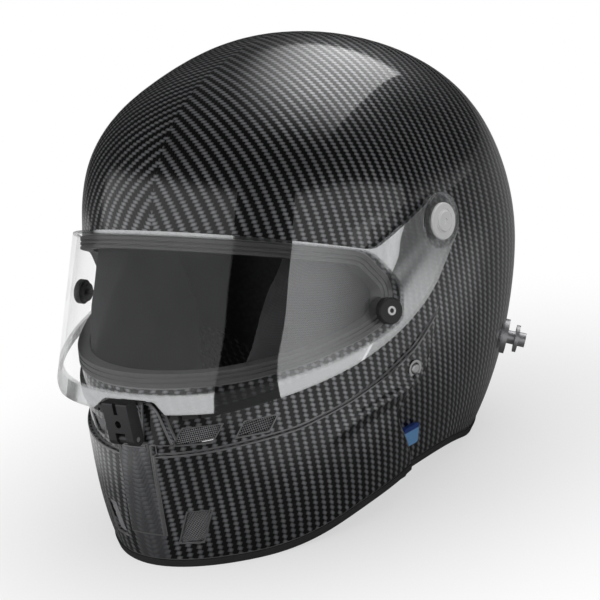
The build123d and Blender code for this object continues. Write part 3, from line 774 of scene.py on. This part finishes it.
def copy_node(node: str, name: str, *finishes: Finish) -> bpy.types.Object:
    """Copy a CAD node into a new piece with its loose triangles merged.

    Args:
        node: The CAD node's name.
        name: The new piece's name.
        finishes: Its finishes, in the order of its material slots.

    Returns:
        The new piece, at the origin.
    """
    piece = bpy.data.objects.new(name, bpy.data.objects[node].data.copy())
    piece.data.materials.clear()
    for finish in finishes:
        piece.data.materials.append(finish.material())
    bpy.context.scene.collection.objects.link(piece)
    merge(piece, SEAM)
    return piece


def apply(obj: bpy.types.Object, kind: str, **settings: object) -> None:
    """Add one modifier and apply it.

    Args:
        obj: The object.
        kind: The modifier's type.
        settings: Its settings.
    """
    pick(obj)
    modifier = obj.modifiers.new(kind.lower(), kind)
    for name, value in settings.items():
        setattr(modifier, name, value)
    bpy.ops.object.modifier_apply(modifier=modifier.name)


def settle(piece: bpy.types.Object, body: Body, node: str) -> None:
    """Attach a piece to its body, hide the CAD node it stands for and log its faces and finishes.

    Args:
        piece: The piece.
        body: The body it rides on.
        node: The CAD node it replaces.
    """
    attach(piece, body.value)
    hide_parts(node)
    finishes = ", ".join(material.name for material in piece.data.materials)
    LOG.info("%s: %d faces, %s", piece.name, len(piece.data.polygons), finishes)


def dress(node: str, finish: Finish) -> None:
    """Give a CAD node its finish.

    Args:
        node: The node's name.
        finish: Its finish.
    """
    mesh = bpy.data.objects[node].data
    mesh.materials.clear()
    mesh.materials.append(finish.material())
    LOG.info("%s: CAD mesh, %s", node, finish.name)


def gather(items: bpy.types.bpy_prop_collection, name: str, width: int = 1,
           kind: type = float) -> np.ndarray:
    """Read one value or vector from each of a mesh's corners, faces or loops.

    Args:
        items: The mesh's collection.
        name: The property.
        width: Numbers in each.
        kind: Type of the numbers.

    Returns:
        One value or row for each.
    """
    found = np.empty(len(items) * width, kind)
    items.foreach_get(name, found)
    return found.reshape(-1, width) if width > 1 else found


def from_pivot(points: np.ndarray) -> np.ndarray:
    """Points in metres as millimetres from the middle of the pivot line."""
    return (points - np.array(PIVOT)) / MILLIMETRE


# Rounded forms

def slopes(height: Callable[[np.ndarray], np.ndarray], places: np.ndarray,
           step: float) -> np.ndarray:
    """Slope of a height along each axis.

    Args:
        height: Gives the height at points.
        places: The points.
        step: Half the span of the finite differences.

    Returns:
        One slope vector per point.
    """
    offsets = np.eye(3) * step
    changes = [height(places + offset) - height(places - offset) for offset in offsets]
    return np.stack(changes, axis=1) / (2 * step)


class PeriodicCurve:
    """Smooth periodic curve through values at angles in degrees."""

    def __init__(self, angles: np.ndarray, values: np.ndarray) -> None:
        """Solve for the curve's bends at its points.

        Args:
            angles: The points' angles in degrees.
            values: The curve's value at each.
        """
        order = np.argsort(angles)
        self.knots = np.append(angles[order], angles[order][0] + 360.0)
        self.values = np.append(values[order], values[order][0])
        after = np.diff(self.knots)
        before = np.roll(after, 1)
        rises = np.diff(self.values) / after
        matrix = np.diag(2 * (before + after))
        rows = np.arange(len(after))
        matrix[rows, rows - 1] += before
        matrix[rows, (rows + 1) % len(after)] += after
        bends = np.linalg.solve(matrix, 6 * (rises - np.roll(rises, 1)))
        self.bends = np.append(bends, bends[0])

    def at(self, angles: np.ndarray) -> np.ndarray:
        """The curve's values.

        Args:
            angles: Angles in degrees.

        Returns:
            One value per angle.
        """
        turned = (angles - self.knots[0]) % 360.0 + self.knots[0]
        index = np.searchsorted(self.knots, turned, side="right") - 1
        index = np.clip(index, 0, len(self.knots) - 2)
        low, high = self.knots[index], self.knots[index + 1]
        span = high - low
        left, right = (high - turned) / span, (turned - low) / span
        bend = (left**3 - left) * self.bends[index] + (right**3 - right) * self.bends[index + 1]
        return left * self.values[index] + right * self.values[index + 1] + bend * span**2 / 6


@dataclass(frozen=True)
class RoundedForm:
    """Closed form about the pivot line: reach and squareness by angle above straight ahead."""

    rows: tuple
    half_width: float
    growth: float = 0.0
    unit: float = 122.0

    def curves(self) -> tuple[PeriodicCurve, PeriodicCurve]:
        """Reach and squareness curves.

        Returns:
            The two curves.
        """
        table = np.array(self.rows, float)
        reach = PeriodicCurve(table[:, 0], table[:, 1] * self.unit + self.growth)
        return reach, PeriodicCurve(table[:, 0], table[:, 2])

    def level(self, places: np.ndarray) -> np.ndarray:
        """How far places are outside the form, as a share of its size.

        Args:
            places: Points in millimetres from the pivot line's middle.

        Returns:
            Zero on the form, positive outside.
        """
        reach, square = self.curves()
        angles = np.degrees(np.arctan2(places[:, 2], -places[:, 1]))
        power = square.at(angles)
        radial = np.hypot(places[:, 1], places[:, 2]) / reach.at(angles)
        side = np.abs(places[:, 0]) / (self.half_width + self.growth)
        return radial**power + side**power - 1.0

    def near(self, places: np.ndarray, step: float = 0.4) -> tuple[np.ndarray, np.ndarray]:
        """Distance to the form and its outward normal at places near it.

        Args:
            places: Points in millimetres from the pivot line's middle.
            step: Half the span of the finite differences.

        Returns:
            Distances in millimetres and unit normals.
        """
        slope = slopes(self.level, places, step)
        size = np.maximum(np.linalg.norm(slope, axis=1), TINY)
        return np.abs(self.level(places)) / size, slope / size[:, None]


# Rows of a form: degrees above straight ahead, reach as a share of its unit, and squareness.
SHELL_ROWS = (
    (14, 0.955, 2.28), (25, 0.945, 2.30), (37, 0.930, 2.33), (57, 0.890, 2.30),
    (77, 0.858, 2.20), (102, 0.886, 2.13), (127, 0.945, 2.15), (155, 1.085, 2.18),
    (182, 1.250, 2.12), (202, 1.372, 2.08), (220, 1.462, 2.05), (235, 1.555, 2.05),
    (252, 1.660, 2.08), (270, 1.790, 2.05), (288, 1.940, 1.98), (302, 2.030, 1.90),
    (315, 1.900, 1.88), (323, 1.680, 1.88), (330, 1.535, 1.90), (335, 1.440, 1.94),
    (339, 1.365, 1.98), (348, 1.175, 2.05), (357, 1.055, 2.15), (5, 0.990, 2.22),
)
CHIN_ROWS = (
    (14, 0.880, 2.20), (37, 0.860, 2.20), (57, 0.820, 2.20), (77, 0.790, 2.15),
    (102, 0.810, 2.10), (127, 0.870, 2.10), (155, 0.990, 2.10), (182, 1.130, 2.05),
    (202, 1.230, 2.00), (220, 1.320, 2.00), (235, 1.400, 2.00), (252, 1.520, 2.02),
    (270, 1.720, 2.00), (284, 1.900, 2.09), (294, 2.030, 2.17), (302, 2.080, 2.11),
    (315, 1.935, 1.93), (323, 1.720, 1.92), (330, 1.560, 1.93), (335, 1.465, 1.95),
    (339, 1.390, 1.98), (348, 1.120, 2.05), (357, 0.980, 2.10), (5, 0.910, 2.15),
)
VISOR_BACK_ROWS = (
    (50, 0.965, 2.3), (80, 0.965, 2.3), (110, 0.965, 2.3), (150, 1.000, 2.3),
    (190, 1.150, 2.3), (230, 1.450, 2.3), (270, 1.900, 2.3), (300, 2.250, 2.3),
)
VISOR_LEAN = 26.2
VISOR_REACH = 0.965
VISOR_ROWS = VISOR_BACK_ROWS + tuple(
    (angle % 360, VISOR_REACH / math.cos(math.radians(angle - VISOR_LEAN)), 2.3)
    for angle in (-36, -28, -20, -10, 2, 14, 26)
)


@dataclass(frozen=True)
class PodRidge:
    """Rounded ridge raised on each cheek pod, along a line in the side view, in millimetres."""

    line: tuple = (
        (-29.0, -83.0), (-43.0, -87.0), (-53.5, -89.5), (-70.0, -91.0), (-83.5, -94.0),
        (-96.0, -99.5), (-107.0, -104.0),
    )
    height: float = 2.6
    width: float = 4.2
    taper: float = 22.0
    inner: float = 60.0
    reach: float = 14.0
    on_form: float = 1.0
    cuts: int = 7
    step: float = 0.3

    def gap(self, places: np.ndarray) -> np.ndarray:
        """Distance from the ridge's line in the side view.

        Args:
            places: Points in millimetres from the pivot line's middle.

        Returns:
            The distances.
        """
        nearest = np.full(len(places), np.inf)
        for start, end in zip(self.line, self.line[1:]):
            run = np.subtract(end, start)
            share = np.clip(((places[:, 1:] - start) @ run) / (run @ run), 0.0, 1.0)
            foot = np.array(start) + share[:, None] * run
            nearest = np.minimum(nearest, np.linalg.norm(places[:, 1:] - foot, axis=1))
        return nearest

    def rise(self, places: np.ndarray) -> np.ndarray:
        """Height of the ridge, fading out at its ends.

        Args:
            places: Points in millimetres from the pivot line's middle.

        Returns:
            The heights.
        """
        front = np.clip((places[:, 1] - self.line[-1][0]) / self.taper, 0.0, 1.0)
        back = np.clip((self.line[0][0] - places[:, 1]) / self.taper, 0.0, 1.0)
        ends = (front * front * (3 - 2 * front)) * (back * back * (3 - 2 * back))
        beside = np.abs(places[:, 0]) > self.inner
        return self.height * np.exp(-((self.gap(places) / self.width) ** 2)) * ends * beside

    def slope(self, places: np.ndarray) -> np.ndarray:
        """Slope of the ridge along each axis at points in millimetres from the pivot line."""
        return slopes(self.rise, places, self.step)

    def divide(self, piece: bpy.types.Object, form: RoundedForm) -> None:
        """Divide the faces round the line finely enough to carry the ridge.

        Args:
            piece: The skin.
            form: The form that the ridge stands on.
        """
        mesh = piece.data
        middles = from_pivot(gather(mesh.polygons, "center", 3))
        close = (form.near(middles)[0] < self.on_form) & (self.gap(middles) < self.reach)
        close &= np.abs(middles[:, 0]) > self.inner
        pick(piece)
        bpy.ops.object.mode_set(mode="EDIT")
        bpy.ops.mesh.select_mode(type="FACE")
        bpy.ops.mesh.select_all(action="DESELECT")
        bpy.ops.object.mode_set(mode="OBJECT")
        mesh.polygons.foreach_set("select", close)
        bpy.ops.object.mode_set(mode="EDIT")
        bpy.ops.mesh.subdivide(number_cuts=self.cuts)
        bpy.ops.object.mode_set(mode="OBJECT")
        LOG.info("%s: %d faces divided for the ridge", piece.name, int(close.sum()))


@dataclass
class FormedSkin:
    """A piece whose faces lie on rounded forms and are shaded as those forms.

    The edge and the weld are in metres, the tolerance in millimetres, the angles in degrees,
    and a corner is stray beyond that many edges.
    """

    node: str
    name: str
    forms: tuple
    finish: Finish
    slot: str
    edge: float
    body: Body = Body.HELMET
    edge_highlight_finish: Finish | None = None
    ridge: PodRidge | None = None
    ridge_form: RoundedForm | None = None
    tolerance: float = 0.9
    stray: float = 1.2
    weld: float = 1e-6
    edge_angle: float = 38.0
    form_angle: float = 24.0
    free_angle: float = 50.0
    formed_angle: float = 60.0

    def build(self) -> None:
        """Copy the node, round its edges and set its normals from the forms."""
        # An edge finish, where given, goes on the bevel's faces; on the shell it is a painted highlight
        # along the rounded edges.
        edges = (self.edge_highlight_finish,) if self.edge_highlight_finish else ()
        piece = copy_node(self.node, self.name, self.finish, *edges)
        if self.ridge:
            self.ridge.divide(piece, self.ridge_form)
        solid = BVHTree.FromPolygons(
            [corner.co.copy() for corner in piece.data.vertices],
            [face.vertices[:] for face in piece.data.polygons],
        )
        apply(
            piece, "BEVEL", width=self.edge, segments=2, limit_method="ANGLE",
            angle_limit=math.radians(self.edge_angle), use_clamp_overlap=not edges,
            material=1 if edges else -1,
        )
        self.draw_in(piece, solid)
        self.shade(piece.data)
        settle(piece, self.body, self.node)

    def draw_in(self, piece: bpy.types.Object, solid: BVHTree) -> None:
        """Merge corners that the bevel threw off the piece into their nearest good one.

        Args:
            piece: The piece after its bevel.
            solid: Its faces before the bevel.
        """
        corners = piece.data.vertices
        reach = self.edge * self.stray
        stray = {one.index for one in corners if solid.find_nearest(one.co)[3] > reach}
        beside = {index: [] for index in stray}
        for edge in piece.data.edges:
            pair = tuple(edge.vertices)
            for one, other in (pair, pair[::-1]):
                if one in stray and other not in stray:
                    beside[one].append(corners[other].co.copy())
        for index, places in beside.items():
            if places:
                start = corners[index].co.copy()
                corners[index].co = min(places, key=lambda place: (place - start).length)
        merge(piece, self.weld)
        LOG.info("%s: %d stray corners drawn in", piece.name, len(stray))

    def shade(self, mesh: bpy.types.Mesh) -> None:
        """Set the normals of faces that lie on the forms.

        Args:
            mesh: The piece's mesh.
        """
        places = from_pivot(gather(mesh.vertices, "co", 3))
        sizes = gather(mesh.polygons, "loop_total", kind=np.int32)
        corners = gather(mesh.loops, "vertex_index", kind=np.int32)
        weights = np.repeat(gather(mesh.polygons, "area"), sizes)
        flat = np.repeat(gather(mesh.polygons, "normal", 3), sizes, axis=0)
        normals = flat.copy()
        best = np.full(len(corners), self.tolerance)
        steepest = math.cos(math.radians(self.form_angle))
        for form in self.forms:
            distance, outward = form.near(places)
            distance, outward = distance[corners], outward[corners]
            facing = np.einsum("ij,ij->i", outward, flat)
            fits = (distance < best) & (np.abs(facing) > steepest)
            normals[fits] = outward[fits] * np.sign(facing[fits])[:, None]
            best[fits] = distance[fits]
        formed = best < self.tolerance
        self.round_edges(normals, corners, weights, formed)
        if self.ridge:
            self.raise_ridge(mesh, places, normals, corners)
        mesh.shade_smooth()
        mesh.normals_split_custom_set(normals.tolist())

    def raise_ridge(self, mesh: bpy.types.Mesh, places: np.ndarray, normals: np.ndarray,
                    corners: np.ndarray) -> None:
        """Move the skin out along the ridge and tilt its normals to match.

        Args:
            mesh: The piece's mesh.
            places: Its vertices in millimetres from the pivot line's middle.
            normals: Normal of each face corner, changed in place.
            corners: Vertex of each face corner.
        """
        distance, outward = self.ridge_form.near(places)
        rise = self.ridge.rise(places)
        raised = (distance < self.tolerance) & (rise > 0.0)
        slope = self.ridge.slope(places)[corners]
        used = raised[corners]
        along = np.einsum("ij,ij->i", slope, normals)[:, None] * normals
        tilted = normals - (slope - along)
        tilted /= np.maximum(np.linalg.norm(tilted, axis=1), TINY)[:, None]
        normals[used] = tilted[used]
        moved = places + outward * (rise * raised)[:, None]
        moved = moved * MILLIMETRE + np.array(PIVOT)
        mesh.vertices.foreach_set("co", moved.ravel())

    def round_edges(self, normals: np.ndarray, corners: np.ndarray, weights: np.ndarray,
                    formed: np.ndarray) -> None:
        """Shade the rounded edges smoothly into the faces beside them.

        Args:
            normals: Normal of each face corner, changed in place.
            corners: Vertex of each face corner.
            weights: Area of each corner's face.
            formed: Which corners lie on the forms.
        """
        free = ~formed
        for chosen, limit in ((free, self.free_angle), (formed, self.formed_angle)):
            total = np.zeros((corners.max() + 1, 3))
            np.add.at(total, corners[chosen], normals[chosen] * weights[chosen, None])
            size = np.linalg.norm(total, axis=1)
            mean = (total / np.maximum(size, TINY * TINY)[:, None])[corners]
            near = np.einsum("ij,ij->i", mean, normals) > math.cos(math.radians(limit))
            used = free & near & (size[corners] > 0)
            normals[used] = mean[used]


@dataclass
class Shell:
    """Outer shell, visor and the rubber pieces that follow their forms, in millimetres."""

    half_width: float = 122.0
    wall: float = 3.5
    keel: float = 2.0
    edge: float = 0.9
    visor_half_width: float = 126.0
    visor_wall: float = 2.8
    visor_edge: float = 0.5
    gasket_stand: float = 1.1
    gasket_inset: float = 7.0
    rubber_edge: float = 0.3
    trim_overhang: float = 0.9
    trim_thickness: float = 5.4
    seal_stand: float = 2.6

    def shell_form(self, growth: float = 0.0) -> RoundedForm:
        """The shell's form, grown outward all round."""
        return RoundedForm(SHELL_ROWS, self.half_width, growth)

    def chin_form(self, growth: float = 0.0) -> RoundedForm:
        """The chin bar's form, grown outward all round."""
        return RoundedForm(CHIN_ROWS, self.half_width, growth)

    def visor_form(self, growth: float = 0.0) -> RoundedForm:
        """The visor's form, grown outward all round."""
        return RoundedForm(VISOR_ROWS, self.visor_half_width, growth)

    def build(self) -> None:
        """Build and dress the formed pieces."""
        shell, chin, visor = self.shell_form, self.chin_form, self.visor_form
        overhang, edge, fine = self.trim_overhang, self.edge * MILLIMETRE, self.rubber_edge * MILLIMETRE
        skins = (
            FormedSkin(
                "outer_shell", "shell_skin", (shell(), shell(-self.wall), chin(), chin(self.keel)),
                CARBON, "carbon_shell", edge, edge_highlight_finish=EDGE_HIGHLIGHT, ridge=PodRidge(),
                ridge_form=chin(),
            ),
            FormedSkin(
                "visor", "visor_pane", (visor(), visor(-self.visor_wall)),
                VISOR, "clear_visor", self.visor_edge * MILLIMETRE, Body.VISOR,
            ),
            FormedSkin(
                "eyeport_gasket", "gasket_ring",
                (shell(self.gasket_stand), shell(-self.gasket_inset)),
                GASKET, "black_rubber", fine,
            ),
            FormedSkin(
                "edge_trim", "rim_bead",
                (shell(overhang), chin(overhang), shell(overhang - self.trim_thickness)),
                RUBBER, "black_rubber", edge,
            ),
            FormedSkin(
                "visor_seal", "seal_strip", (shell(self.seal_stand), shell()),
                RUBBER, "black_rubber", fine,
            ),
        )
        for skin in skins:
            skin.build()


# Padding

@dataclass
class Pad:
    """A soft pad modelled from the space that its CAD solid holds, in metres."""

    node: str
    name: str
    finish: Finish = CLOTH
    softness: int = 14
    wrinkle: float = 0.0008
    voxel: float = 0.003
    fold: float = 0.022
    drawn_in: float = 0.9
    fill: float = 0.7

    def build(self) -> None:
        """Remesh the solid finely, round it off and crease its cover."""
        pad = copy_node(self.node, self.name, self.finish)
        apply(pad, "REMESH", mode="VOXEL", voxel_size=self.voxel)
        apply(pad, "SMOOTH", factor=0.5, iterations=self.softness)
        self.crease(pad)
        pad.data.shade_smooth()
        settle(pad, Body.HELMET, self.node)

    def crease(self, pad: bpy.types.Object) -> None:
        """Draw the cover in along soft wrinkles.

        Args:
            pad: The pad.
        """
        clouds = bpy.data.textures.new(f"{self.name}_folds", "CLOUDS")
        clouds.noise_scale = self.fold
        clouds.noise_depth = 1
        apply(
            pad, "DISPLACE", texture=clouds, texture_coords="GLOBAL", strength=self.wrinkle,
            mid_level=self.drawn_in,
        )


@dataclass
class Interior:
    """Soft lining, cheek pads, foam and straps, with lengths in metres."""

    cheek_softness: int = 22
    cheek_wrinkle: float = 0.0016
    chin_softness: int = 10
    strap_edge: float = 0.0005
    strap_edge_angle: float = 40.0
    strap_smooth_angle: float = 35.0
    plain_pads: tuple = (
        "brow_pad", "crown_pad", "crown_side_pad_left", "crown_side_pad_right", "nape_pad",
    )
    liner_parts: tuple = ("front", "rear", "left", "right")

    def build(self) -> None:
        """Build and dress the interior."""
        for side in SIDES:
            Pad(f"cheek_pad_{side}", f"cheek_cushion_{side}", CHEEK_CLOTH,
                self.cheek_softness, self.cheek_wrinkle).build()
            self.strap(side)
        for node in self.plain_pads:
            Pad(node, node.replace("pad", "cushion")).build()
        Pad("chin_bar_liner", "chin_cushion", softness=self.chin_softness).build()
        for part in self.liner_parts:
            dress(f"impact_liner_{part}", FOAM)

    def strap(self, side: str) -> None:
        """Round a chin strap's edges.

        Args:
            side: The helmet's side.
        """
        node = f"chin_strap_{side}"
        strap = copy_node(node, f"strap_web_{side}", STRAP)
        apply(strap, "BEVEL", width=self.strap_edge, segments=2, limit_method="ANGLE",
              angle_limit=math.radians(self.strap_edge_angle))
        pick(strap)
        bpy.ops.object.shade_smooth_by_angle(angle=math.radians(self.strap_smooth_angle))
        settle(strap, Body.HELMET, node)


# Fixings and screens

@dataclass
class Hardware:
    """Fixings and latch with the CAD's meshes, and the vents' screens, sized in metres."""

    paired: tuple = (
        ("pivot_washer", WHITE), ("pivot_screw", WHITE), ("pivot_bush", STEEL),
        ("pivot_insert", STEEL), ("tear_off_post", BLACK), ("tear_off_ring", WHITE),
        ("strap_rivet", STEEL), ("rivet_ring", STEEL), ("anchor_base", ANCHOR),
        ("anchor_post", ANCHOR), ("anchor_insert", STEEL),
    )
    single: tuple = (
        ("latch_lever", LATCH_GREY), ("latch_spine", LATCH_GREY), ("latch_pin", STEEL),
        ("latch_screw", STEEL), ("port_plug", BLUE),
    )
    screens: tuple = ("vent_mesh_upper_inner", "vent_mesh_upper_outer", "vent_mesh_lower")
    screen_pitch: float = 0.00125
    screen_wire: float = 0.00042
    foam_pitch: float = 0.004
    foam_back: float = 0.0022
    foam_thickness: float = 0.0012

    def build(self) -> None:
        """Dress every fixing and weave the screens."""
        for node, finish in self.paired:
            for side in SIDES:
                dress(f"{node}_{side}", finish)
        for node, finish in self.single:
            dress(node, finish)
        for node in self.screens:
            for side in SIDES:
                self.screen(f"{node}_{side}")

    def screen(self, node: str) -> None:
        """Weave a fine wire screen in the place of a coarse one, with filter foam behind it.

        Args:
            node: The CAD node's name.
        """
        places = gather(bpy.data.objects[node].data.vertices, "co", 3)
        middle = places.mean(axis=0)
        axes = np.linalg.svd(places - middle, full_matrices=False)[2]
        if axes[2] @ (middle - np.array(PIVOT)) < 0:
            axes[2] *= -1
        axes[1] = np.cross(axes[2], axes[0])
        spread = (places - middle) @ axes.T
        low, high = spread.min(axis=0), spread.max(axis=0)
        centre = middle + axes.T @ ((low + high) / 2)
        wires = self.sheet(centre, axes, high - low, self.screen_pitch)
        foam = self.sheet(centre - axes[2] * self.foam_back, axes, high - low, self.foam_pitch)
        wires.name = node.replace("vent_mesh", "vent_screen")
        wires.data.materials.append(MESH_WIRE.material())
        foam.data.materials.append(FOAM.material())
        apply(wires, "WIREFRAME", thickness=self.screen_wire, use_even_offset=False)
        apply(foam, "SOLIDIFY", thickness=self.foam_thickness)
        settle(wires, Body.HELMET, node)
        pick(wires)
        foam.select_set(True)
        bpy.ops.object.join()

    def sheet(self, centre: np.ndarray, axes: np.ndarray, size: np.ndarray,
              pitch: float) -> bpy.types.Object:
        """Lay a flat sheet of square cells.

        Args:
            centre: Its middle.
            axes: Its own axes, one per row.
            size: Its length along each.
            pitch: Side of a cell.

        Returns:
            The sheet.
        """
        deselect()
        bpy.ops.mesh.primitive_grid_add(
            x_subdivisions=max(2, round(size[0] / pitch)),
            y_subdivisions=max(2, round(size[1] / pitch)), size=1.0,
            location=centre.tolist(), rotation=Matrix(axes.T.tolist()).to_euler(),
        )
        sheet = bpy.context.active_object
        sheet.scale = (size[0], size[1], 1.0)
        bpy.ops.object.transform_apply(location=True, rotation=True, scale=True)
        return sheet


# Studio

@dataclass(frozen=True)
class SoftBox:
    """One soft box: where it hangs, its size, and how far in it fades from each side.

    Angles are in degrees from the camera's direction, lengths in metres and power in watts. The
    fades are shares of the box, from its left, right, lower and upper sides.
    """

    name: str
    azimuth: float
    elevation: float
    distance: float
    size: tuple
    power: float
    fades: tuple
    level: bool = False
    turn: float = 0.0

    def light(self) -> bpy.types.AreaLight:
        """Make the light, dimmed toward its sides.

        Returns:
            The light.
        """
        data = bpy.data.lights.new(self.name, "AREA")
        data.shape = "RECTANGLE"
        data.size, data.size_y = self.size
        data.energy = self.power
        graph = Graph(data)
        place = graph.parts(graph.add("ShaderNodeNewGeometry", output="Parametric"))
        strength = 1.0
        for side, reach in enumerate(self.fades):
            if reach:
                low, high = (0.0, reach) if side in (0, 2) else (1.0, 1.0 - reach)
                strength = place[side // 2].ramp(low, high) * strength
        glow = graph.add("ShaderNodeEmission", inputs={"Strength": strength})
        graph.add("ShaderNodeOutputLight", inputs={"Surface": glow})
        return data


@dataclass
class Studio:
    """Camera, pale floor, and the soft boxes whose reflections show on the shell.

    The camera's frame is level, and the helmet is tipped forward in it by tip degrees. Spans
    on the floor are in millimetres, and other lengths in metres.
    """

    azimuth: float = 41.15
    elevation: float = 4.01
    distance: float = 1.5
    focal_pixels: float = 2415.0
    image_pixels: float = 600.0
    sensor: float = 36.0
    tip: float = 17.0
    pivot_back: float = -0.01439
    pivot_up: float = 0.05599
    backdrop: float = 1.0
    ambient: float = 0.40
    dim: float = 0.03
    floor_size: float = 6.0
    floor_tone: float = 0.85
    floor_glow: float = 0.60
    floor_clear: tuple = (120.0, 360.0)
    floor_reflected: float = 0.22
    floor_reflected_glow: float = 0.60
    beside_across: tuple = (150.0, 260.0)
    beside_behind: tuple = (200.0, 480.0)
    boxes: tuple = (
        SoftBox("overhead_box", 180.0, 81.7, 1.01, (0.95, 1.61), 12.5, (0.65, 0.02, 0.75, 0.10),
                True, -12.0),
        SoftBox("left_box", -79.0, 2.0, 1.3, (2.18, 1.1), 5.3, (0.12, 0.0, 0.1, 0.25)),
        SoftBox("right_box", 38.0, 0.0, 1.3, (2.18, 1.1), 5.6, (0.0, 0.12, 0.12, 0.22)),
        SoftBox("arm_box", 101.0, -6.0, 1.3, (1.16, 1.3), 4.2, (0.2, 0.3, 0.2, 0.5)),
    )

    def to_model(self, point: Vector) -> Vector:
        """Turn a point of the camera's level frame into the model's frame."""
        return self.turned(point - Vector((0, self.pivot_back, self.pivot_up))) + PIVOT

    def turned(self, direction: Vector) -> Vector:
        """Turn a direction of the camera's level frame into the model's frame."""
        return Matrix.Rotation(math.radians(-self.tip), 3, "X") @ direction

    def toward(self, azimuth: float, elevation: float) -> Vector:
        """Unit direction in the level frame, from angles measured from the camera's.

        Args:
            azimuth: Degrees to the camera's right of the camera's own direction.
            elevation: Degrees above level.

        Returns:
            The direction.
        """
        turn = math.radians(self.azimuth + azimuth)
        lift = math.radians(elevation)
        return Vector((math.sin(turn) * math.cos(lift), -math.cos(turn) * math.cos(lift),
                       math.sin(lift)))

    def stand(self, obj: bpy.types.Object, place: Vector, *axes: Vector) -> None:
        """Stand a camera or a light in the scene.

        Args:
            obj: The camera or light.
            place: Its place in the level frame.
            axes: Its own axes there.
        """
        turned = Matrix([self.turned(axis) for axis in axes]).transposed().to_4x4()
        obj.matrix_world = Matrix.Translation(self.to_model(place)) @ turned
        bpy.context.scene.collection.objects.link(obj)

    def camera(self) -> None:
        """Set the camera at the photograph's angle."""
        back, right = self.toward(0.0, self.elevation), self.toward(90.0, 0.0)
        data = bpy.data.cameras.new("camera")
        data.sensor_width = self.sensor
        data.lens = self.focal_pixels / self.image_pixels * self.sensor
        cam = bpy.data.objects.new("camera", data)
        self.stand(cam, back * self.distance, right, back.cross(right), back)
        bpy.context.scene.camera = cam

    def soft_box(self, box: SoftBox) -> None:
        """Hang a soft box that faces the helmet, or lies level above it.

        Args:
            box: The box.
        """
        away = self.toward(box.azimuth, box.elevation)
        place = away * box.distance
        if box.level:
            away = Vector((0, 0, 1))
            upright = -self.toward(box.turn, 0.0)
        else:
            upright = (Vector((0, 0, 1)) - away * away.z).normalized()
        lamp = bpy.data.objects.new(box.name, box.light())
        self.stand(lamp, place, upright.cross(away), upright, away)

    def floor(self) -> None:
        """Lay the pale floor, darker where only the shell's reflections see it, except beside the
        helmet, where it glows for glossy rays as a hidden patch of light that the shell reflects.
        """
        bpy.ops.mesh.primitive_grid_add(x_subdivisions=4, y_subdivisions=4, size=self.floor_size)
        ground = bpy.context.active_object
        ground.name = "floor"
        material = bpy.data.materials.new("floor")
        graph = Graph(material)
        across, backward, _ = graph.place()
        seen, mirrored = graph.ray("Is Camera Ray"), graph.ray("Is Glossy Ray")
        white, glow_for_reflections = (
            graph.add("ShaderNodeEmission", inputs={"Strength": strength})
            for strength in (self.backdrop, self.floor_reflected_glow)
        )
        pale, dark = (
            graph.add("ShaderNodeBsdfDiffuse", inputs={"Color": (tone, tone, tone, 1.0)})
            for tone in (self.floor_tone, self.floor_reflected)
        )
        # Beside the helmet the floor glows for glossy rays only: a glowing patch, no lamp, that the
        # shell reflects.
        beside = abs(across).ramp(*self.beside_across) * (1.0 - backward.ramp(*self.beside_behind))
        lit = graph.mix(seen, graph.mix(beside * mirrored, dark, glow_for_reflections), pale)
        far = (across * across + backward * backward).root().ramp(*self.floor_clear)
        glow = (far * (1.0 - self.floor_glow) + self.floor_glow) * seen
        shown = graph.mix(glow, lit, white)
        graph.add("ShaderNodeOutputMaterial", inputs={"Surface": shown})
        ground.data.materials.append(material)

    def world(self) -> None:
        """White backdrop for the camera, and a dim surround for reflections."""
        world = bpy.data.worlds.new("backdrop")
        bpy.context.scene.world = world
        graph = Graph(world)
        white, soft, dim = (
            graph.add("ShaderNodeBackground", inputs={"Color": (1, 1, 1, 1), "Strength": strength})
            for strength in (self.backdrop, self.ambient, self.dim)
        )
        unseen = graph.mix(graph.ray("Is Diffuse Ray"), dim, soft)
        shown = graph.mix(graph.ray("Is Camera Ray"), unseen, white)
        graph.add("ShaderNodeOutputWorld", inputs={"Surface": shown})

    def build(self) -> None:
        """Set camera, lights, floor and backdrop."""
        self.camera()
        self.world()
        self.floor()
        for box in self.boxes:
            self.soft_box(box)
        bpy.context.scene.view_settings.view_transform = "Standard"


def main() -> None:
    """Build the scene."""
    deselect()
    Shell().build()
    Interior().build()
    Hardware().build()
    Studio().build()


if __name__ == "__main__":
    main()
